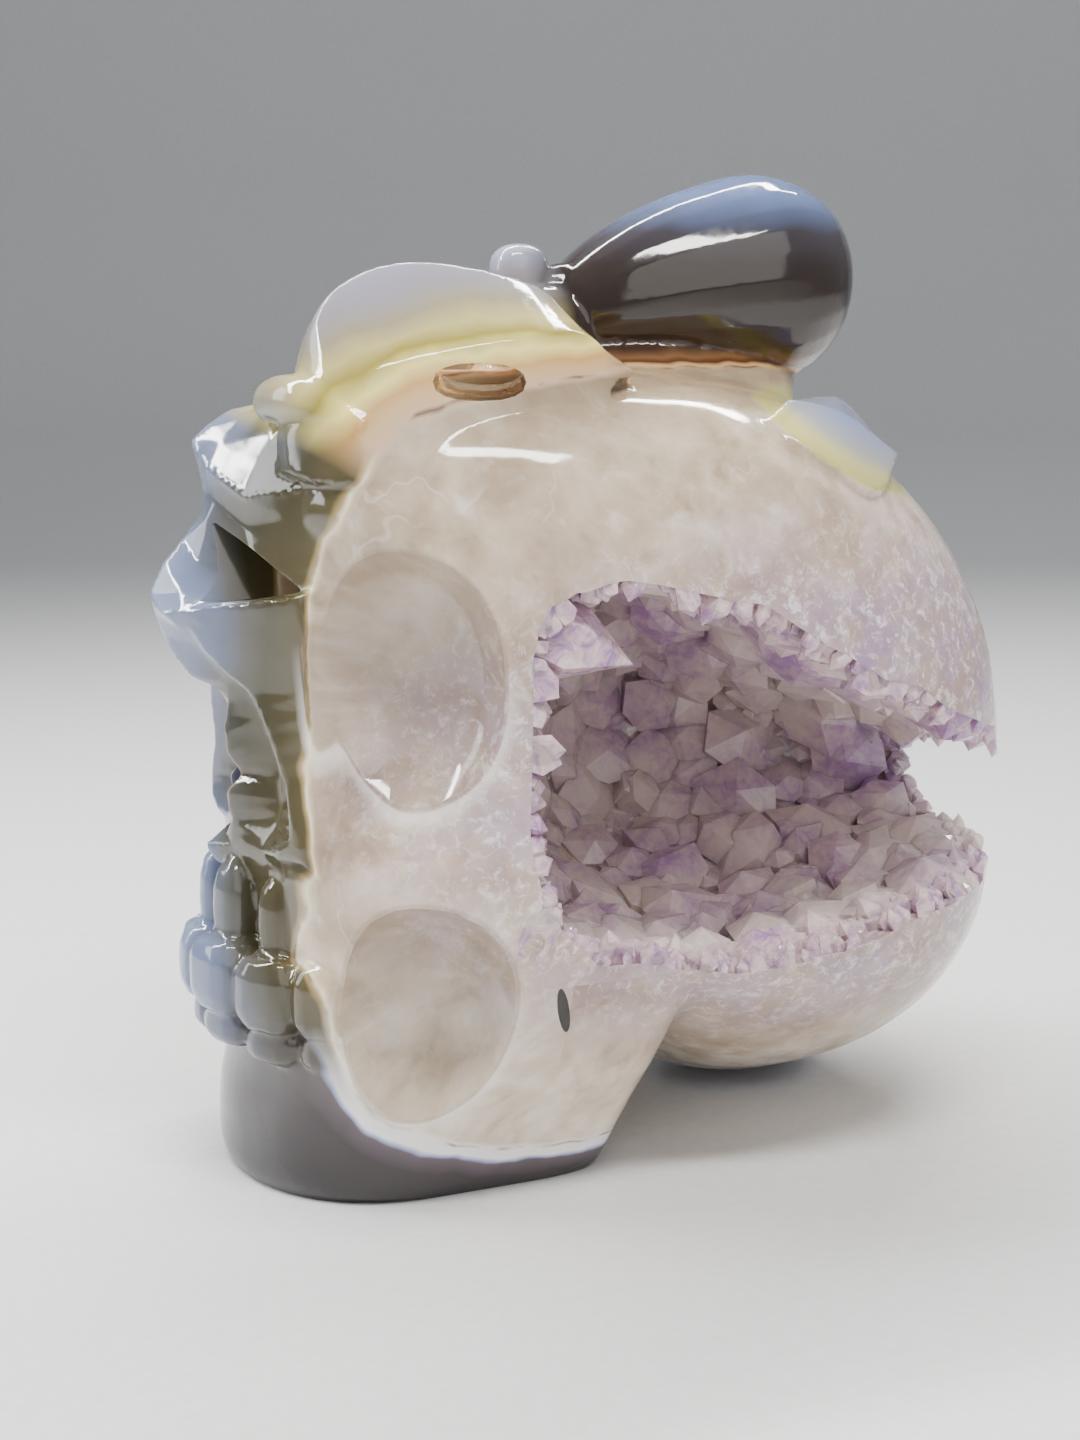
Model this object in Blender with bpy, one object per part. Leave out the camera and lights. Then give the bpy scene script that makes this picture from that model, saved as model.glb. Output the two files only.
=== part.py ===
"""A carved agate skull cut from one amethyst geode, with a spider-like figure on its crown.

The skull looks along -Y and stands on its jaw and on the foot of its braincase, on Z = 0.
Its own left side is +X. Every length below is in millimetres, and the finished meshes are
scaled to metres. The stone is one solid. The crystals that line its hollow are a second one.
"""

import math
import random

import bmesh
import bpy
from mathutils import Matrix, Vector

# Driving dimensions, in millimetres
ARCH_CENTRE_Y = -45.0
ARCH_HALF_WIDTH = 30.0
ARCH_DEPTH = 23.0
ARCH_POWER = 1.6
BITE_Z = 27.0
BITE_RISE = 2.0
TOOTH_WIDTHS = [12.0, 11.5, 9.5, 8.5]
TOOTH_INSET = 3.8
FACE_THICKNESS = 16.0
CREASED_LINES = (2, 6)
LEAN_TOP = 42.0
FOOT_LEAN = 15.0
FAR_CHEEK_SET_BACK = 5.0
FAR_BROW_SET_BACK = 2.0
FAR_LEG_SHIFT = (0.0, 20.0, -7.0)
FAR_FOOT_SHIFT = (0.0, 12.0, -1.0)
BULB_CENTRE = (0.0, 30.5, 140.8)
BULB_RADIUS = 17.8
HOLLOW_GAP = 0.5
HOLLOW_FRONT_DEPTH = 14.0
HOLLOW_HEART = (20.0, 20.0, 62.0)
OVAL_CENTRE_Y = 8.0
OVAL_HALF_LENGTH = 62.0
OVAL_HALF_WIDTH = 48.0
CRUST_THICKNESS = 3.5
CRYSTAL_COUNT = 42
CRYSTAL_LENGTHS = (7.0, 13.0)
CRYSTAL_SEED = 7

# How finely the stone is rebuilt and how far it is thinned out again
BLEND_VOXEL = 1.6
STONE_VOXEL = 0.7
ROUGH_TRIANGLES = 30000
STONE_TRIANGLES = 5600
FLOOR_SNAP = 0.25

METRES = 0.001

AGATE_COLOUR = (0.62, 0.58, 0.56, 1.0)
AMETHYST_COLOUR = (0.70, 0.62, 0.78, 1.0)
POLISHED = 0.12
GLASSY = 0.08


def clear_scene():
    for thing in list(bpy.data.objects):
        bpy.data.objects.remove(thing, do_unlink=True)


def add_object(name, mesh):
    thing = bpy.data.objects.new(name, mesh)
    bpy.context.scene.collection.objects.link(thing)
    return thing


def flow(stations, steps):
    """Rows of numbers on a smooth curve through the stations, steps to each gap."""
    rows = []
    last = len(stations) - 1
    for i in range(last):
        before, a = stations[max(i - 1, 0)], stations[i]
        b, after = stations[i + 1], stations[min(i + 2, last)]
        for k in range(steps):
            t = k / steps
            rows.append([
                0.5 * (2 * q + (r - p) * t + (2 * p - 5 * q + 4 * r - s) * t * t
                       + (3 * q - p - 3 * r + s) * t ** 3)
                for p, q, r, s in zip(before, a, b, after)
            ])
    rows.append(list(stations[last]))
    return rows


def loft(name, rings):
    """A closed skin over rings of equal point counts, with a flat cap on each end."""
    form = bmesh.new()
    rows = [[form.verts.new(point) for point in ring] for ring in rings]
    count = len(rows[0])
    for lower, upper in zip(rows, rows[1:]):
        for i in range(count):
            j = (i + 1) % count
            form.faces.new((lower[i], lower[j], upper[j]))
            form.faces.new((lower[i], upper[j], upper[i]))
    form.faces.new(rows[0])
    form.faces.new(rows[-1])
    bmesh.ops.recalc_face_normals(form, faces=form.faces)
    mesh = bpy.data.meshes.new(name)
    form.to_mesh(mesh)
    form.free()
    return add_object(name, mesh)


def rounded(angle, power):
    """The point at an angle on a unit superellipse."""
    c, s = math.cos(angle), math.sin(angle)
    return (math.copysign(abs(c) ** (2 / power), c), math.copysign(abs(s) ** (2 / power), s))


def plan_ring(z, front, middle, back, half_width, front_power, back_power, sides):
    """A level outline that is widest at middle, with its own roundness in front and behind."""
    ring = []
    for i in range(sides):
        angle = 2 * math.pi * i / sides
        ahead = math.sin(angle) < 0
        u, v = rounded(angle, front_power if ahead else back_power)
        reach = middle - front if ahead else back - middle
        ring.append((u * half_width, middle + v * reach, z))
    return ring


def stack(name, stations, back_power, sides=40, steps=4):
    """A form built up of level outlines.

    A station is (z, front, middle, back, half width, roundness in front)."""
    rings = [plan_ring(*row, back_power, sides) for row in flow(stations, steps)]
    return loft(name, rings)


def sweep(name, stations, power=2.0, sides=16, steps=4, roll_axis=(1, 0, 0)):
    """A form along a curve. A station is (x, y, z, half width, half height, roll in degrees).

    The width runs along roll_axis before the roll, and the height across it."""
    rows = flow(stations, steps)
    rings = []
    for i, (x, y, z, width, height, roll) in enumerate(rows):
        a, b = rows[max(i - 1, 0)], rows[min(i + 1, len(rows) - 1)]
        along = Vector((b[0] - a[0], b[1] - a[1], b[2] - a[2])).normalized()
        side = Vector(roll_axis) - along * along.dot(Vector(roll_axis))
        side = Matrix.Rotation(math.radians(roll), 3, along) @ side.normalized()
        up = along.cross(side)
        ring = []
        for k in range(sides):
            u, v = rounded(2 * math.pi * k / sides, power)
            ring.append(Vector((x, y, z)) + side * (u * width) + up * (v * height))
        rings.append(ring)
    return loft(name, rings)


def ball(name, centre, radii, turn=(0, 0, 0), power=2.0, sides=28):
    """A rounded lump. turn is in degrees about X, Y and Z."""
    form = bmesh.new()
    bmesh.ops.create_uvsphere(form, u_segments=sides, v_segments=sides // 2, radius=1.0)
    spin = Matrix.Rotation(math.radians(turn[2]), 3, "Z")
    spin = spin @ Matrix.Rotation(math.radians(turn[1]), 3, "Y")
    spin = spin @ Matrix.Rotation(math.radians(turn[0]), 3, "X")
    for vert in form.verts:
        size = sum(abs(c) ** power for c in vert.co) ** (1 / power)
        point = Vector([c * r / size for c, r in zip(vert.co, radii)])
        vert.co = spin @ point + Vector(centre)
    mesh = bpy.data.meshes.new(name)
    form.to_mesh(mesh)
    form.free()
    return add_object(name, mesh)


def mirrored(thing):
    """The same form on the other side of the middle plane."""
    mesh = thing.data.copy()
    mesh.transform(Matrix.Diagonal((-1, 1, 1, 1)))
    mesh.flip_normals()
    return add_object(thing.name + "_far", mesh)


def both_sides(things):
    return things + [mirrored(thing) for thing in things]


def settle(thing):
    """Replaces the object's mesh by the mesh that its modifiers give."""
    bpy.context.view_layer.update()
    done = bpy.data.meshes.new_from_object(thing.evaluated_get(bpy.context.evaluated_depsgraph_get()))
    thing.modifiers.clear()
    thing.data = done
    return thing


def merged(name, things):
    """All the forms in one object, which still cross each other."""
    form = bmesh.new()
    for thing in things:
        form.from_mesh(thing.data)
        bpy.data.objects.remove(thing, do_unlink=True)
    mesh = bpy.data.meshes.new(name)
    form.to_mesh(mesh)
    form.free()
    return add_object(name, mesh)


def melt(name, things, voxel, passes):
    """The forms grown together into one skin, with their joins softened."""
    body = merged(name, things)
    remesh = body.modifiers.new("skin", "REMESH")
    remesh.mode = "VOXEL"
    remesh.voxel_size = voxel
    if passes:
        soften = body.modifiers.new("soften", "SMOOTH")
        soften.factor = 0.5
        soften.iterations = passes
    return settle(body)


def thin_out(thing, triangles):
    thing.data.calc_loop_triangles()
    cut = thing.modifiers.new("thin", "DECIMATE")
    cut.ratio = min(1.0, triangles / len(thing.data.loop_triangles))
    cut.use_collapse_triangulate = True
    return settle(thing)


def combine(thing, tools, operation, crosses_itself=False):
    """Cuts the tools from the object, or keeps what they share with it, one after another."""
    for tool in tools:
        step = thing.modifiers.new(tool.name, "BOOLEAN")
        step.operation = operation
        step.solver = "EXACT"
        step.use_self = crosses_itself
        step.object = tool
    settle(thing)
    for tool in tools:
        bpy.data.objects.remove(tool, do_unlink=True)
    return thing


def keep_largest(thing):
    """Drops the chips that a cut leaves beside the main body."""
    form = bmesh.new()
    form.from_mesh(thing.data)
    unseen = set(form.verts)
    bodies = []
    while unseen:
        body, edge = set(), [unseen.pop()]
        while edge:
            vert = edge.pop()
            body.add(vert)
            for link in vert.link_edges:
                other = link.other_vert(vert)
                if other in unseen:
                    unseen.discard(other)
                    edge.append(other)
        bodies.append(body)
    bodies.sort(key=len)
    for body in bodies[:-1]:
        bmesh.ops.delete(form, geom=list(body), context="VERTS")
    form.to_mesh(thing.data)
    form.free()
    return thing


# The head


def braincase():
    """The head without its face. It hangs low behind, and leans over to the far side there."""
    head = stack("braincase", [
        (-1.0, 30.0, 36.0, 42.0, 4.5, 2.1),
        (1.0, 25.0, 35.0, 45.0, 7.5, 2.1),
        (5.0, 17.0, 33.0, 52.0, 17.0, 2.1),
        (12.0, 8.0, 30.0, 59.0, 28.0, 2.1),
        (22.0, -4.0, 26.0, 65.0, 38.0, 2.2),
        (34.0, -20.0, 20.0, 69.5, 45.0, 2.2),
        (46.0, -46.0, 14.0, 71.5, 48.0, 2.3),
        (58.0, -54.0, 12.0, 72.0, 50.0, 2.4),
        (70.0, -56.0, 12.0, 71.0, 50.5, 2.45),
        (84.0, -57.5, 10.0, 68.0, 50.0, 2.5),
        (98.0, -58.5, 6.0, 60.5, 48.0, 2.7),
        (107.0, -58.0, 2.0, 52.5, 45.5, 2.9),
        (114.0, -55.5, -2.0, 44.0, 42.0, 2.9),
        (119.0, -52.0, -5.0, 36.0, 37.0, 2.8),
        (123.0, -45.0, -6.0, 28.0, 30.0, 2.6),
        (126.0, -32.0, -8.0, 15.0, 17.0, 2.4),
    ], 2.2, sides=56)
    for vert in head.data.vertices:
        drop = max(0.0, 1.0 - vert.co.z / LEAN_TOP)
        vert.co.x -= FOOT_LEAN * drop * drop
    return head


def jaw():
    return stack("jaw", [
        (-1.0, -61.0, -38.0, -6.5, 25.0, 2.1),
        (0.6, -62.2, -38.0, -6.0, 26.2, 2.1),
        (4.0, -63.0, -38.0, -5.0, 27.8, 2.1),
        (12.0, -62.5, -36.0, -2.5, 31.5, 2.1),
        (19.0, -60.5, -34.0, 0.0, 35.0, 2.1),
        (28.0, -59.5, -32.0, 3.0, 38.5, 2.1),
        (38.0, -59.5, -30.0, 6.0, 42.0, 2.1),
        (50.0, -60.0, -28.0, 8.0, 44.5, 2.1),
        (57.0, -58.5, -26.0, 8.0, 44.0, 2.1),
        (65.0, -55.0, -24.0, 6.0, 41.0, 2.1),
        (73.0, -50.0, -20.0, 2.0, 34.0, 2.1),
    ], 7.0, sides=56)


def face_lines():
    """Level lines over the left half of the face, each from the middle plane outward."""
    return [
        [(0, -50, 121.5), (5, -50, 121), (13, -49, 119.5), (21, -48.5, 117.5), (28, -46, 116)],
        [(0, -60, 120), (5, -59, 119), (13, -56.5, 117), (21, -53, 116), (28, -49.5, 115)],
        [(0, -66, 115.5), (5, -65, 111.5), (13, -61.5, 107.5), (21, -57.5, 108.5), (28, -54.5, 110)],
        [(0, -64.5, 109), (4.5, -64, 107), (11, -61, 103), (20, -58, 100), (28, -54.5, 103)],
        [(0, -64.5, 104.5), (4, -65, 104), (14, -60.5, 98), (24, -56.5, 94), (27.5, -54.5, 96)],
        [(0, -70.5, 97.5), (5, -66.5, 97), (13, -59, 95), (23, -56, 94), (27, -54.5, 95)],
        [(0, -73, 92.5), (6.5, -72.5, 90), (9, -70.5, 90.5), (14, -66, 91.5), (26, -57.5, 93.5)],
        [(0, -71, 85.5), (6, -67.5, 85), (8, -67, 85), (10, -67.5, 84.5), (26.5, -56.5, 85.5)],
        [(0, -67, 79.5), (6, -63, 79), (10, -61, 79), (16, -62.5, 79), (26.5, -55.5, 79.5)],
        [(0, -61, 75), (5.5, -63, 74), (12, -59, 74), (19.5, -61, 74), (26, -55.5, 74)],
        [(0, -59, 68), (5, -64, 68), (13, -57, 68), (22, -59.5, 67.5), (26, -55.5, 68)],
        [(0, -58, 65), (6, -61, 65), (14, -57, 65), (23, -59, 64.5), (26, -56, 65)],
        [(0, -58, 62.5), (5, -64.5, 62.5), (14, -57, 62), (24, -59, 62), (26.5, -56.5, 62)],
        [(0, -59, 57.5), (5, -62.5, 57.5), (14, -58, 57.5), (24.5, -59, 57.5), (27, -57, 57.5)],
        [(0, -65.5, 53), (5, -62.5, 53.5), (13, -60, 54), (20, -60, 54.5), (26.5, -57.5, 55)],
        [(0, -61.5, 47.5), (5, -60.5, 47.5), (12, -58, 47.5), (19, -55, 47.5), (26, -51, 47)],
        [(0, -58, 38), (5, -57, 38), (12, -54, 38), (19, -50, 38), (25, -45, 38)],
    ]


def face():
    """A thick sheet of stone over the front of the head: brows, cheeks and nose.

    The far side's nose and cheek are set back, as they stay hidden behind the near side's."""
    lines = []
    for i, line in enumerate(face_lines()):
        lines += [[value for point in line for value in point]] * (2 if i in CREASED_LINES else 1)
    rows = []
    for row in flow(lines, 2):
        line = [row[i:i + 3] for i in range(0, len(row), 3)]
        low = 50 < line[0][2] < 96
        far = []
        for x, y, z in line[:0:-1]:
            set_back = FAR_CHEEK_SET_BACK if low else FAR_BROW_SET_BACK
            far.append((-x, y + set_back * (1 - x / 32), z))
        rows.append(far + list(line))
    form = bmesh.new()
    front = [[form.verts.new(p) for p in row] for row in rows]
    back = [[form.verts.new((p[0] * 0.8, p[1] + FACE_THICKNESS, p[2])) for p in row] for row in rows]
    last = len(rows[0]) - 1
    for upper, lower in zip(range(len(rows) - 1), range(1, len(rows))):
        for i in range(last):
            form.faces.new((front[upper][i], front[lower][i], front[lower][i + 1], front[upper][i + 1]))
            form.faces.new((back[upper][i], back[upper][i + 1], back[lower][i + 1], back[lower][i]))
        for i in (0, last):
            form.faces.new((front[upper][i], back[upper][i], back[lower][i], front[lower][i]))
    for row in (0, len(rows) - 1):
        for i in range(last):
            form.faces.new((front[row][i], front[row][i + 1], back[row][i + 1], back[row][i]))
    bmesh.ops.triangulate(form, faces=form.faces)
    bmesh.ops.recalc_face_normals(form, faces=form.faces)
    mesh = bpy.data.meshes.new("face")
    form.to_mesh(mesh)
    form.free()
    return add_object("face", mesh)


# The teeth


def on_arch(distance):
    """The point on the dental arch at a distance along it from the front, and its heading."""
    steps = 200
    travelled, i = 0.0, 0
    x, y, heading = 0.0, -1.0, 0.0
    while travelled < distance:
        u, v = rounded(math.pi / 2 * (1 - (i + 1) / steps), ARCH_POWER)
        dx, dy = (u - x) * ARCH_HALF_WIDTH, (-v - y) * ARCH_DEPTH
        travelled += math.hypot(dx, dy)
        heading = math.atan2(dy, dx)
        x, y, i = u, -v, i + 1
    return x * ARCH_HALF_WIDTH, ARCH_CENTRE_Y + y * ARCH_DEPTH, math.degrees(heading)


def teeth():
    made = []
    along = 0.0
    for i, width in enumerate(TOOTH_WIDTHS):
        x, y, heading = on_arch(along + width / 2)
        along += width
        inward = math.radians(heading + 90)
        cx, cy = x + TOOTH_INSET * math.cos(inward), y + TOOTH_INSET * math.sin(inward)
        turn = (0, 0, heading)
        half = width * 0.51
        bite = BITE_Z + BITE_RISE * max(0.0, 1 - x / 14)
        rx, ry = cx + 1.6 * math.cos(inward), cy + 1.6 * math.sin(inward)
        made.append(ball("upper_crown", (cx, cy, bite + 5.6), (half, 5.4, 6.2), turn, 3.6, 16))
        made.append(ball("root", (rx, ry, bite + 15.5), (half * 0.6, 3.6, 8.0), turn, 2.6, 16))
        made.append(ball("lower_crown", (rx, ry, bite - 2.6), (half * 0.98, 4.9, 3.6), turn, 2.8, 16))
    return made


# The figure on the crown


def bulb():
    """The egg-shaped rear of the figure, with its narrow end forward and down."""
    x, y, z = BULB_CENTRE
    r = BULB_RADIUS
    return sweep("bulb", [
        (x, y + 16.4, z + 2.6, 1.5, 1.5, 0),
        (x, y + 15.2, z + 2.4, 7.5, 7.5, 0),
        (x, y + 10.0, z + 1.8, 14.4, 14.0, 0),
        (x, y + 1.0, z + 0.5, r, r - 0.4, 0),
        (x, y - 10.0, z - 1.0, 17.0, 16.2, 0),
        (x, y - 20.0, z - 2.8, 14.6, 13.8, 0),
        (x, y - 29.0, z - 5.2, 11.0, 10.4, 0),
        (x, y - 35.5, z - 7.4, 7.0, 6.6, 0),
        (x, y - 38.6, z - 8.6, 2.6, 2.4, 0),
    ], sides=28)


def bulb_seat():
    """The low neck of stone that joins the bulb to the crown."""
    return stack("bulb_seat", [
        (114.0, -14.0, 8.0, 34.0, 24.0, 2.2),
        (122.0, -14.0, 9.0, 36.0, 20.0, 2.2),
        (127.0, -10.0, 12.0, 38.0, 15.0, 2.2),
        (131.0, -3.0, 16.0, 40.0, 11.0, 2.2),
    ], 2.2, sides=32)


def head_knobs():
    return [
        ball("knob_front", (0.0, -12.0, 142.0), (4.2, 4.6, 4.0), (0, 0, 0), 2.6, 20),
        ball("knob_rear", (-0.5, -5.5, 139.0), (4.4, 4.4, 4.0), (20, 0, 0), 2.6, 20),
        ball("chest", (0.0, -8.0, 131.0), (9.0, 12.0, 9.0), (0, 0, 0), 2.2, 24),
    ]


def fore_leg(sections):
    """The broad arched leg that stands along one side of the crown, with its point behind.

    A section gives y, the crest x and z, the ridge x and z, the foot x and z, and the inner x."""
    rings = []
    for y, cx, cz, rx, rz, fx, fz, ix in flow(sections, 4):
        rings.append([(ix, y, fz), (fx, y, fz), (rx, y, rz), (cx, y, cz), (ix, y, cz - 2.5)])
    return loft("fore_leg", rings)


def near_fore_leg():
    return fore_leg([
        (-58.0, 20.5, 118.0, 23.0, 116.5, 24.5, 111.0, 18.0),
        (-56.0, 20.5, 122.0, 26.0, 119.0, 29.0, 110.0, 16.5),
        (-52.5, 20.5, 133.5, 29.5, 122.0, 33.5, 110.0, 15.0),
        (-47.0, 20.0, 138.8, 31.5, 125.5, 35.5, 110.0, 14.0),
        (-38.0, 19.5, 141.4, 32.5, 128.0, 36.0, 110.0, 13.5),
        (-28.0, 19.5, 140.8, 32.8, 129.8, 36.5, 110.0, 13.5),
        (-18.0, 21.0, 138.2, 32.8, 131.0, 36.5, 111.0, 15.0),
        (-14.0, 23.5, 133.8, 32.6, 130.0, 35.5, 115.0, 18.0),
        (-11.5, 26.0, 130.4, 32.2, 128.0, 33.5, 123.0, 21.0),
        (-8.0, 29.4, 127.0, 31.2, 126.2, 31.8, 124.6, 27.0),
        (-6.4, 30.4, 125.8, 30.9, 125.4, 31.1, 124.8, 29.8),
    ])


def moved_across(near, shift):
    """The near form taken over to the far side, and shifted there."""
    far = mirrored(near)
    bpy.data.objects.remove(near, do_unlink=True)
    far.data.transform(Matrix.Translation(shift))
    return far


def curled_foot():
    return sweep("curled_foot", [
        (11.0, -57.0, 120.5, 2.4, 2.2, 0),
        (15.0, -57.2, 121.2, 3.4, 3.0, 0),
        (21.0, -55.8, 121.2, 3.8, 3.2, 0),
        (27.0, -52.5, 119.5, 3.4, 3.0, 0),
        (32.0, -49.0, 117.0, 2.2, 2.0, 0),
    ], roll_axis=(0, 0, 1))


def hind_leg():
    """The leg folded down along the back of the crown, a leaf-shaped blade with a sharp lower edge.

    A section gives a point of the lower edge and one of the upper edge."""
    rings = []
    for lx, ly, lz, ux, uy, uz in flow([
        (35.5, 13.0, 118.2, 25.0, 23.0, 121.0),
        (39.8, 17.0, 115.0, 18.0, 32.5, 122.0),
        (41.8, 21.8, 111.6, 14.5, 39.0, 122.0),
        (42.0, 27.2, 108.4, 13.0, 43.5, 119.6),
        (39.0, 32.4, 107.8, 14.0, 46.0, 116.0),
        (34.0, 36.6, 109.2, 18.0, 45.6, 112.8),
        (29.0, 39.6, 110.4, 23.0, 43.2, 111.4),
    ], 3):
        low, high = Vector((lx, ly, lz)), Vector((ux, uy, uz))
        swell = (low + high) / 2 + Vector((1.4, 1.4, 2.0))
        under = low + Vector((-5.0, -3.0, -3.5))
        rings.append([under, low, swell, high, high + Vector((-5.0, -5.0, -6.0))])
    return loft("hind_leg", rings)


def leg_root():
    """Joins the foreleg's inner side to the figure's chest."""
    return sweep("leg_root", [
        (2.0, -10.0, 130.0, 6.0, 5.0, 0),
        (12.0, -14.0, 131.0, 5.5, 4.5, 0),
        (22.0, -18.0, 129.0, 5.0, 4.5, 0),
    ], roll_axis=(0, 1, 0))


# What is ground away


def eye_socket():
    """A slanting three-cornered socket that narrows as it goes in."""
    corners = [(5.2, 103.6), (9.5, 91.4), (25.5, 94.0)]
    rings = []
    for y, scale in [(-92, 1.0), (-62, 1.0), (-52, 0.86), (-45, 0.6), (-41, 0.2)]:
        ring = []
        for i in range(3):
            a, b = Vector(corners[i]), Vector(corners[(i + 1) % 3])
            for t in (0.04, 0.5, 0.96):
                p = a.lerp(b, t)
                ring.append((16.0 + (p.x - 16.0) * scale, y, 96.5 + (p.y - 96.5) * scale))
        rings.append(ring)
    return loft("eye_socket", rings)


def nose_opening():
    rings = []
    for y, scale in [(-80, 1.15), (-60, 1.0), (-48, 0.75), (-42, 0.35)]:
        ring = []
        for x, z in [(0, 79), (3.4, 77), (5.6, 71), (6.4, 64), (5.2, 58), (2.2, 55.2),
                     (0, 56.4), (-2.2, 55.2), (-5.2, 58), (-6.4, 64), (-5.6, 71), (-3.4, 77)]:
            ring.append((x * scale, y, 67 + (z - 67) * scale))
        rings.append(ring)
    return loft("nose_opening", rings)


def temple_scoop():
    return ball("temple_scoop", (42.2, -50.8, 81.0), (17.5, 17.6, 21.0), (0, 0, -50), 2.3, 28)


def jaw_scoop():
    return ball("jaw_scoop", (43.4, -46.6, 30.0), (16.0, 17.0, 20.5), (0, 0, -37), 2.2, 28)


def ramus_step():
    """The set-back behind the upright crease in the side of the jaw."""
    rings = []
    for y, depth in [(-21.2, 3.4), (-14.0, 2.6), (-6.0, 1.2), (2.0, -1.5)]:
        rings.append([(31.5, y, 8.0), (60.0, y, 8.0), (60.0, y, 36.0), (41.4 - depth, y, 36.0)])
    return loft("ramus_step", rings)


def leg_arch():
    """The see-through gap under the foreleg."""
    return sweep("leg_arch", [
        (46.0, -38.0, 124.0, 6.6, 2.7, 0),
        (30.0, -31.0, 124.0, 6.6, 2.7, 0),
        (8.0, -22.0, 126.5, 6.6, 2.7, 0),
    ], power=2.4, roll_axis=(0, 1, 0))


def jaw_hollow():
    """The open space between the two sides of the jaw, which has no back wall."""
    return stack("jaw_hollow", [
        (-4.0, -46.0, -24.0, 12.0, 15.0, 2.4),
        (8.0, -46.0, -24.0, 11.0, 17.0, 2.4),
        (18.0, -44.0, -24.0, 8.0, 18.0, 2.4),
        (25.0, -40.0, -24.0, 2.0, 14.0, 2.4),
        (29.0, -34.0, -24.0, -8.0, 8.0, 2.4),
    ], 6.0, sides=28)


def side_slit():
    return sweep("side_slit", [
        (46.0, -25.0, 34.0, 0.9, 3.3, 0),
        (36.0, -20.4, 30.7, 0.9, 3.3, 0),
        (27.0, -16.3, 27.8, 0.9, 3.3, 0),
    ], roll_axis=(0, 1, 0))


def floor_cut():
    form = bmesh.new()
    bmesh.ops.create_cube(form, size=1.0)
    for vert in form.verts:
        vert.co = Vector((vert.co.x * 240, vert.co.y * 260, (vert.co.z - 0.5) * 30))
    mesh = bpy.data.meshes.new("floor_cut")
    form.to_mesh(mesh)
    form.free()
    return add_object("floor_cut", mesh)


# The hollow and its crystals


def hollow(name, inset, overrun=0.0, sides=20, steps=2):
    """The geode's hollow. It opens the left side of the braincase and runs out at the back.

    overrun makes it longer behind, so that no two of its ends lie in one plane."""
    stations = [
        # y, centre x, centre z, half width, half height
        (-29.0, 37.0, 72.0, 14.0, 15.0),
        (-26.5, 33.0, 71.0, 23.0, 24.5),
        (-18.0, 26.0, 68.5, 36.0, 30.5),
        (-2.0, 20.0, 65.8, 48.0, 32.0),
        (12.0, 17.0, 63.0, 51.0, 30.5),
        (27.0, 16.0, 60.0, 49.0, 25.0),
        (42.0, 17.0, 58.0, 43.0, 19.5),
        (57.0, 19.0, 55.8, 36.0, 14.0),
        (72.0, 21.0, 54.6, 32.0, 10.5),
        (88.0, 23.0, 53.5, 31.0, 9.5),
    ]
    rings = []
    wobble = random.Random(3)
    for row in flow(stations, steps):
        y, cx, cz, width, height = row
        ring = []
        for i in range(sides):
            u, v = rounded(2 * math.pi * i / sides, 2.5)
            lump = 1.0 + 0.07 * (wobble.random() - 0.5)
            ring.append((
                cx + u * (width * lump - inset),
                y + inset * max(0.0, 1.0 - (y - stations[0][0]) / HOLLOW_FRONT_DEPTH),
                cz + v * (height * lump - inset),
            ))
        rings.append(ring)
    rings[-1] = [(x, y + overrun, z) for x, y, z in rings[-1]]
    return loft(name, rings)


def crystal(centre, heading, length, radius, spin):
    """One six-sided quartz point, as (points, faces)."""
    ahead = Vector(heading).normalized()
    side = ahead.orthogonal().normalized()
    up = ahead.cross(side)
    points = []
    for reach in (0.0, 0.45):
        for i in range(6):
            angle = spin + math.pi * i / 3
            offset = side * math.cos(angle) + up * math.sin(angle)
            points.append(Vector(centre) + ahead * (length * reach) + offset * radius)
    points.append(Vector(centre) + ahead * length)
    faces = [tuple(range(5, -1, -1))]
    faces += [(i, (i + 1) % 6, (i + 1) % 6 + 6, i + 6) for i in range(6)]
    faces += [(i + 6, (i + 1) % 6 + 6, 12) for i in range(6)]
    return points, faces


def crystal_object(name, *shape):
    points, faces = crystal(*shape)
    mesh = bpy.data.meshes.new(name)
    mesh.from_pydata(points, [], faces)
    return add_object(name, mesh)


def inside_braincase(place):
    """Whether a place lies within the level oval of the braincase, a little in from its skin."""
    across, along = place.x / OVAL_HALF_WIDTH, (place.y - OVAL_CENTRE_Y) / OVAL_HALF_LENGTH
    return across * across + along * along < 1.0


def wall_spots(skin, count, dice):
    """Evenly spread places on the hollow's wall, each with the direction into the hollow."""
    skin.calc_loop_triangles()
    triangles = list(skin.loop_triangles)
    weights = [t.area for t in triangles]
    spots = []
    while len(spots) < count:
        best = None
        for _ in range(12):
            chosen = dice.choices(triangles, weights)[0]
            a, b, c = [skin.vertices[i].co for i in chosen.vertices]
            s, t = sorted((dice.random(), dice.random()))
            place = a * s + b * (t - s) + c * (1 - t)
            room = min([(place - p).length for p, _ in spots] or [99.0])
            if inside_braincase(place) and (best is None or room > best[0]):
                best = (room, place, -chosen.normal)
        if best:
            spots.append(best[1:])
    return spots


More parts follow.
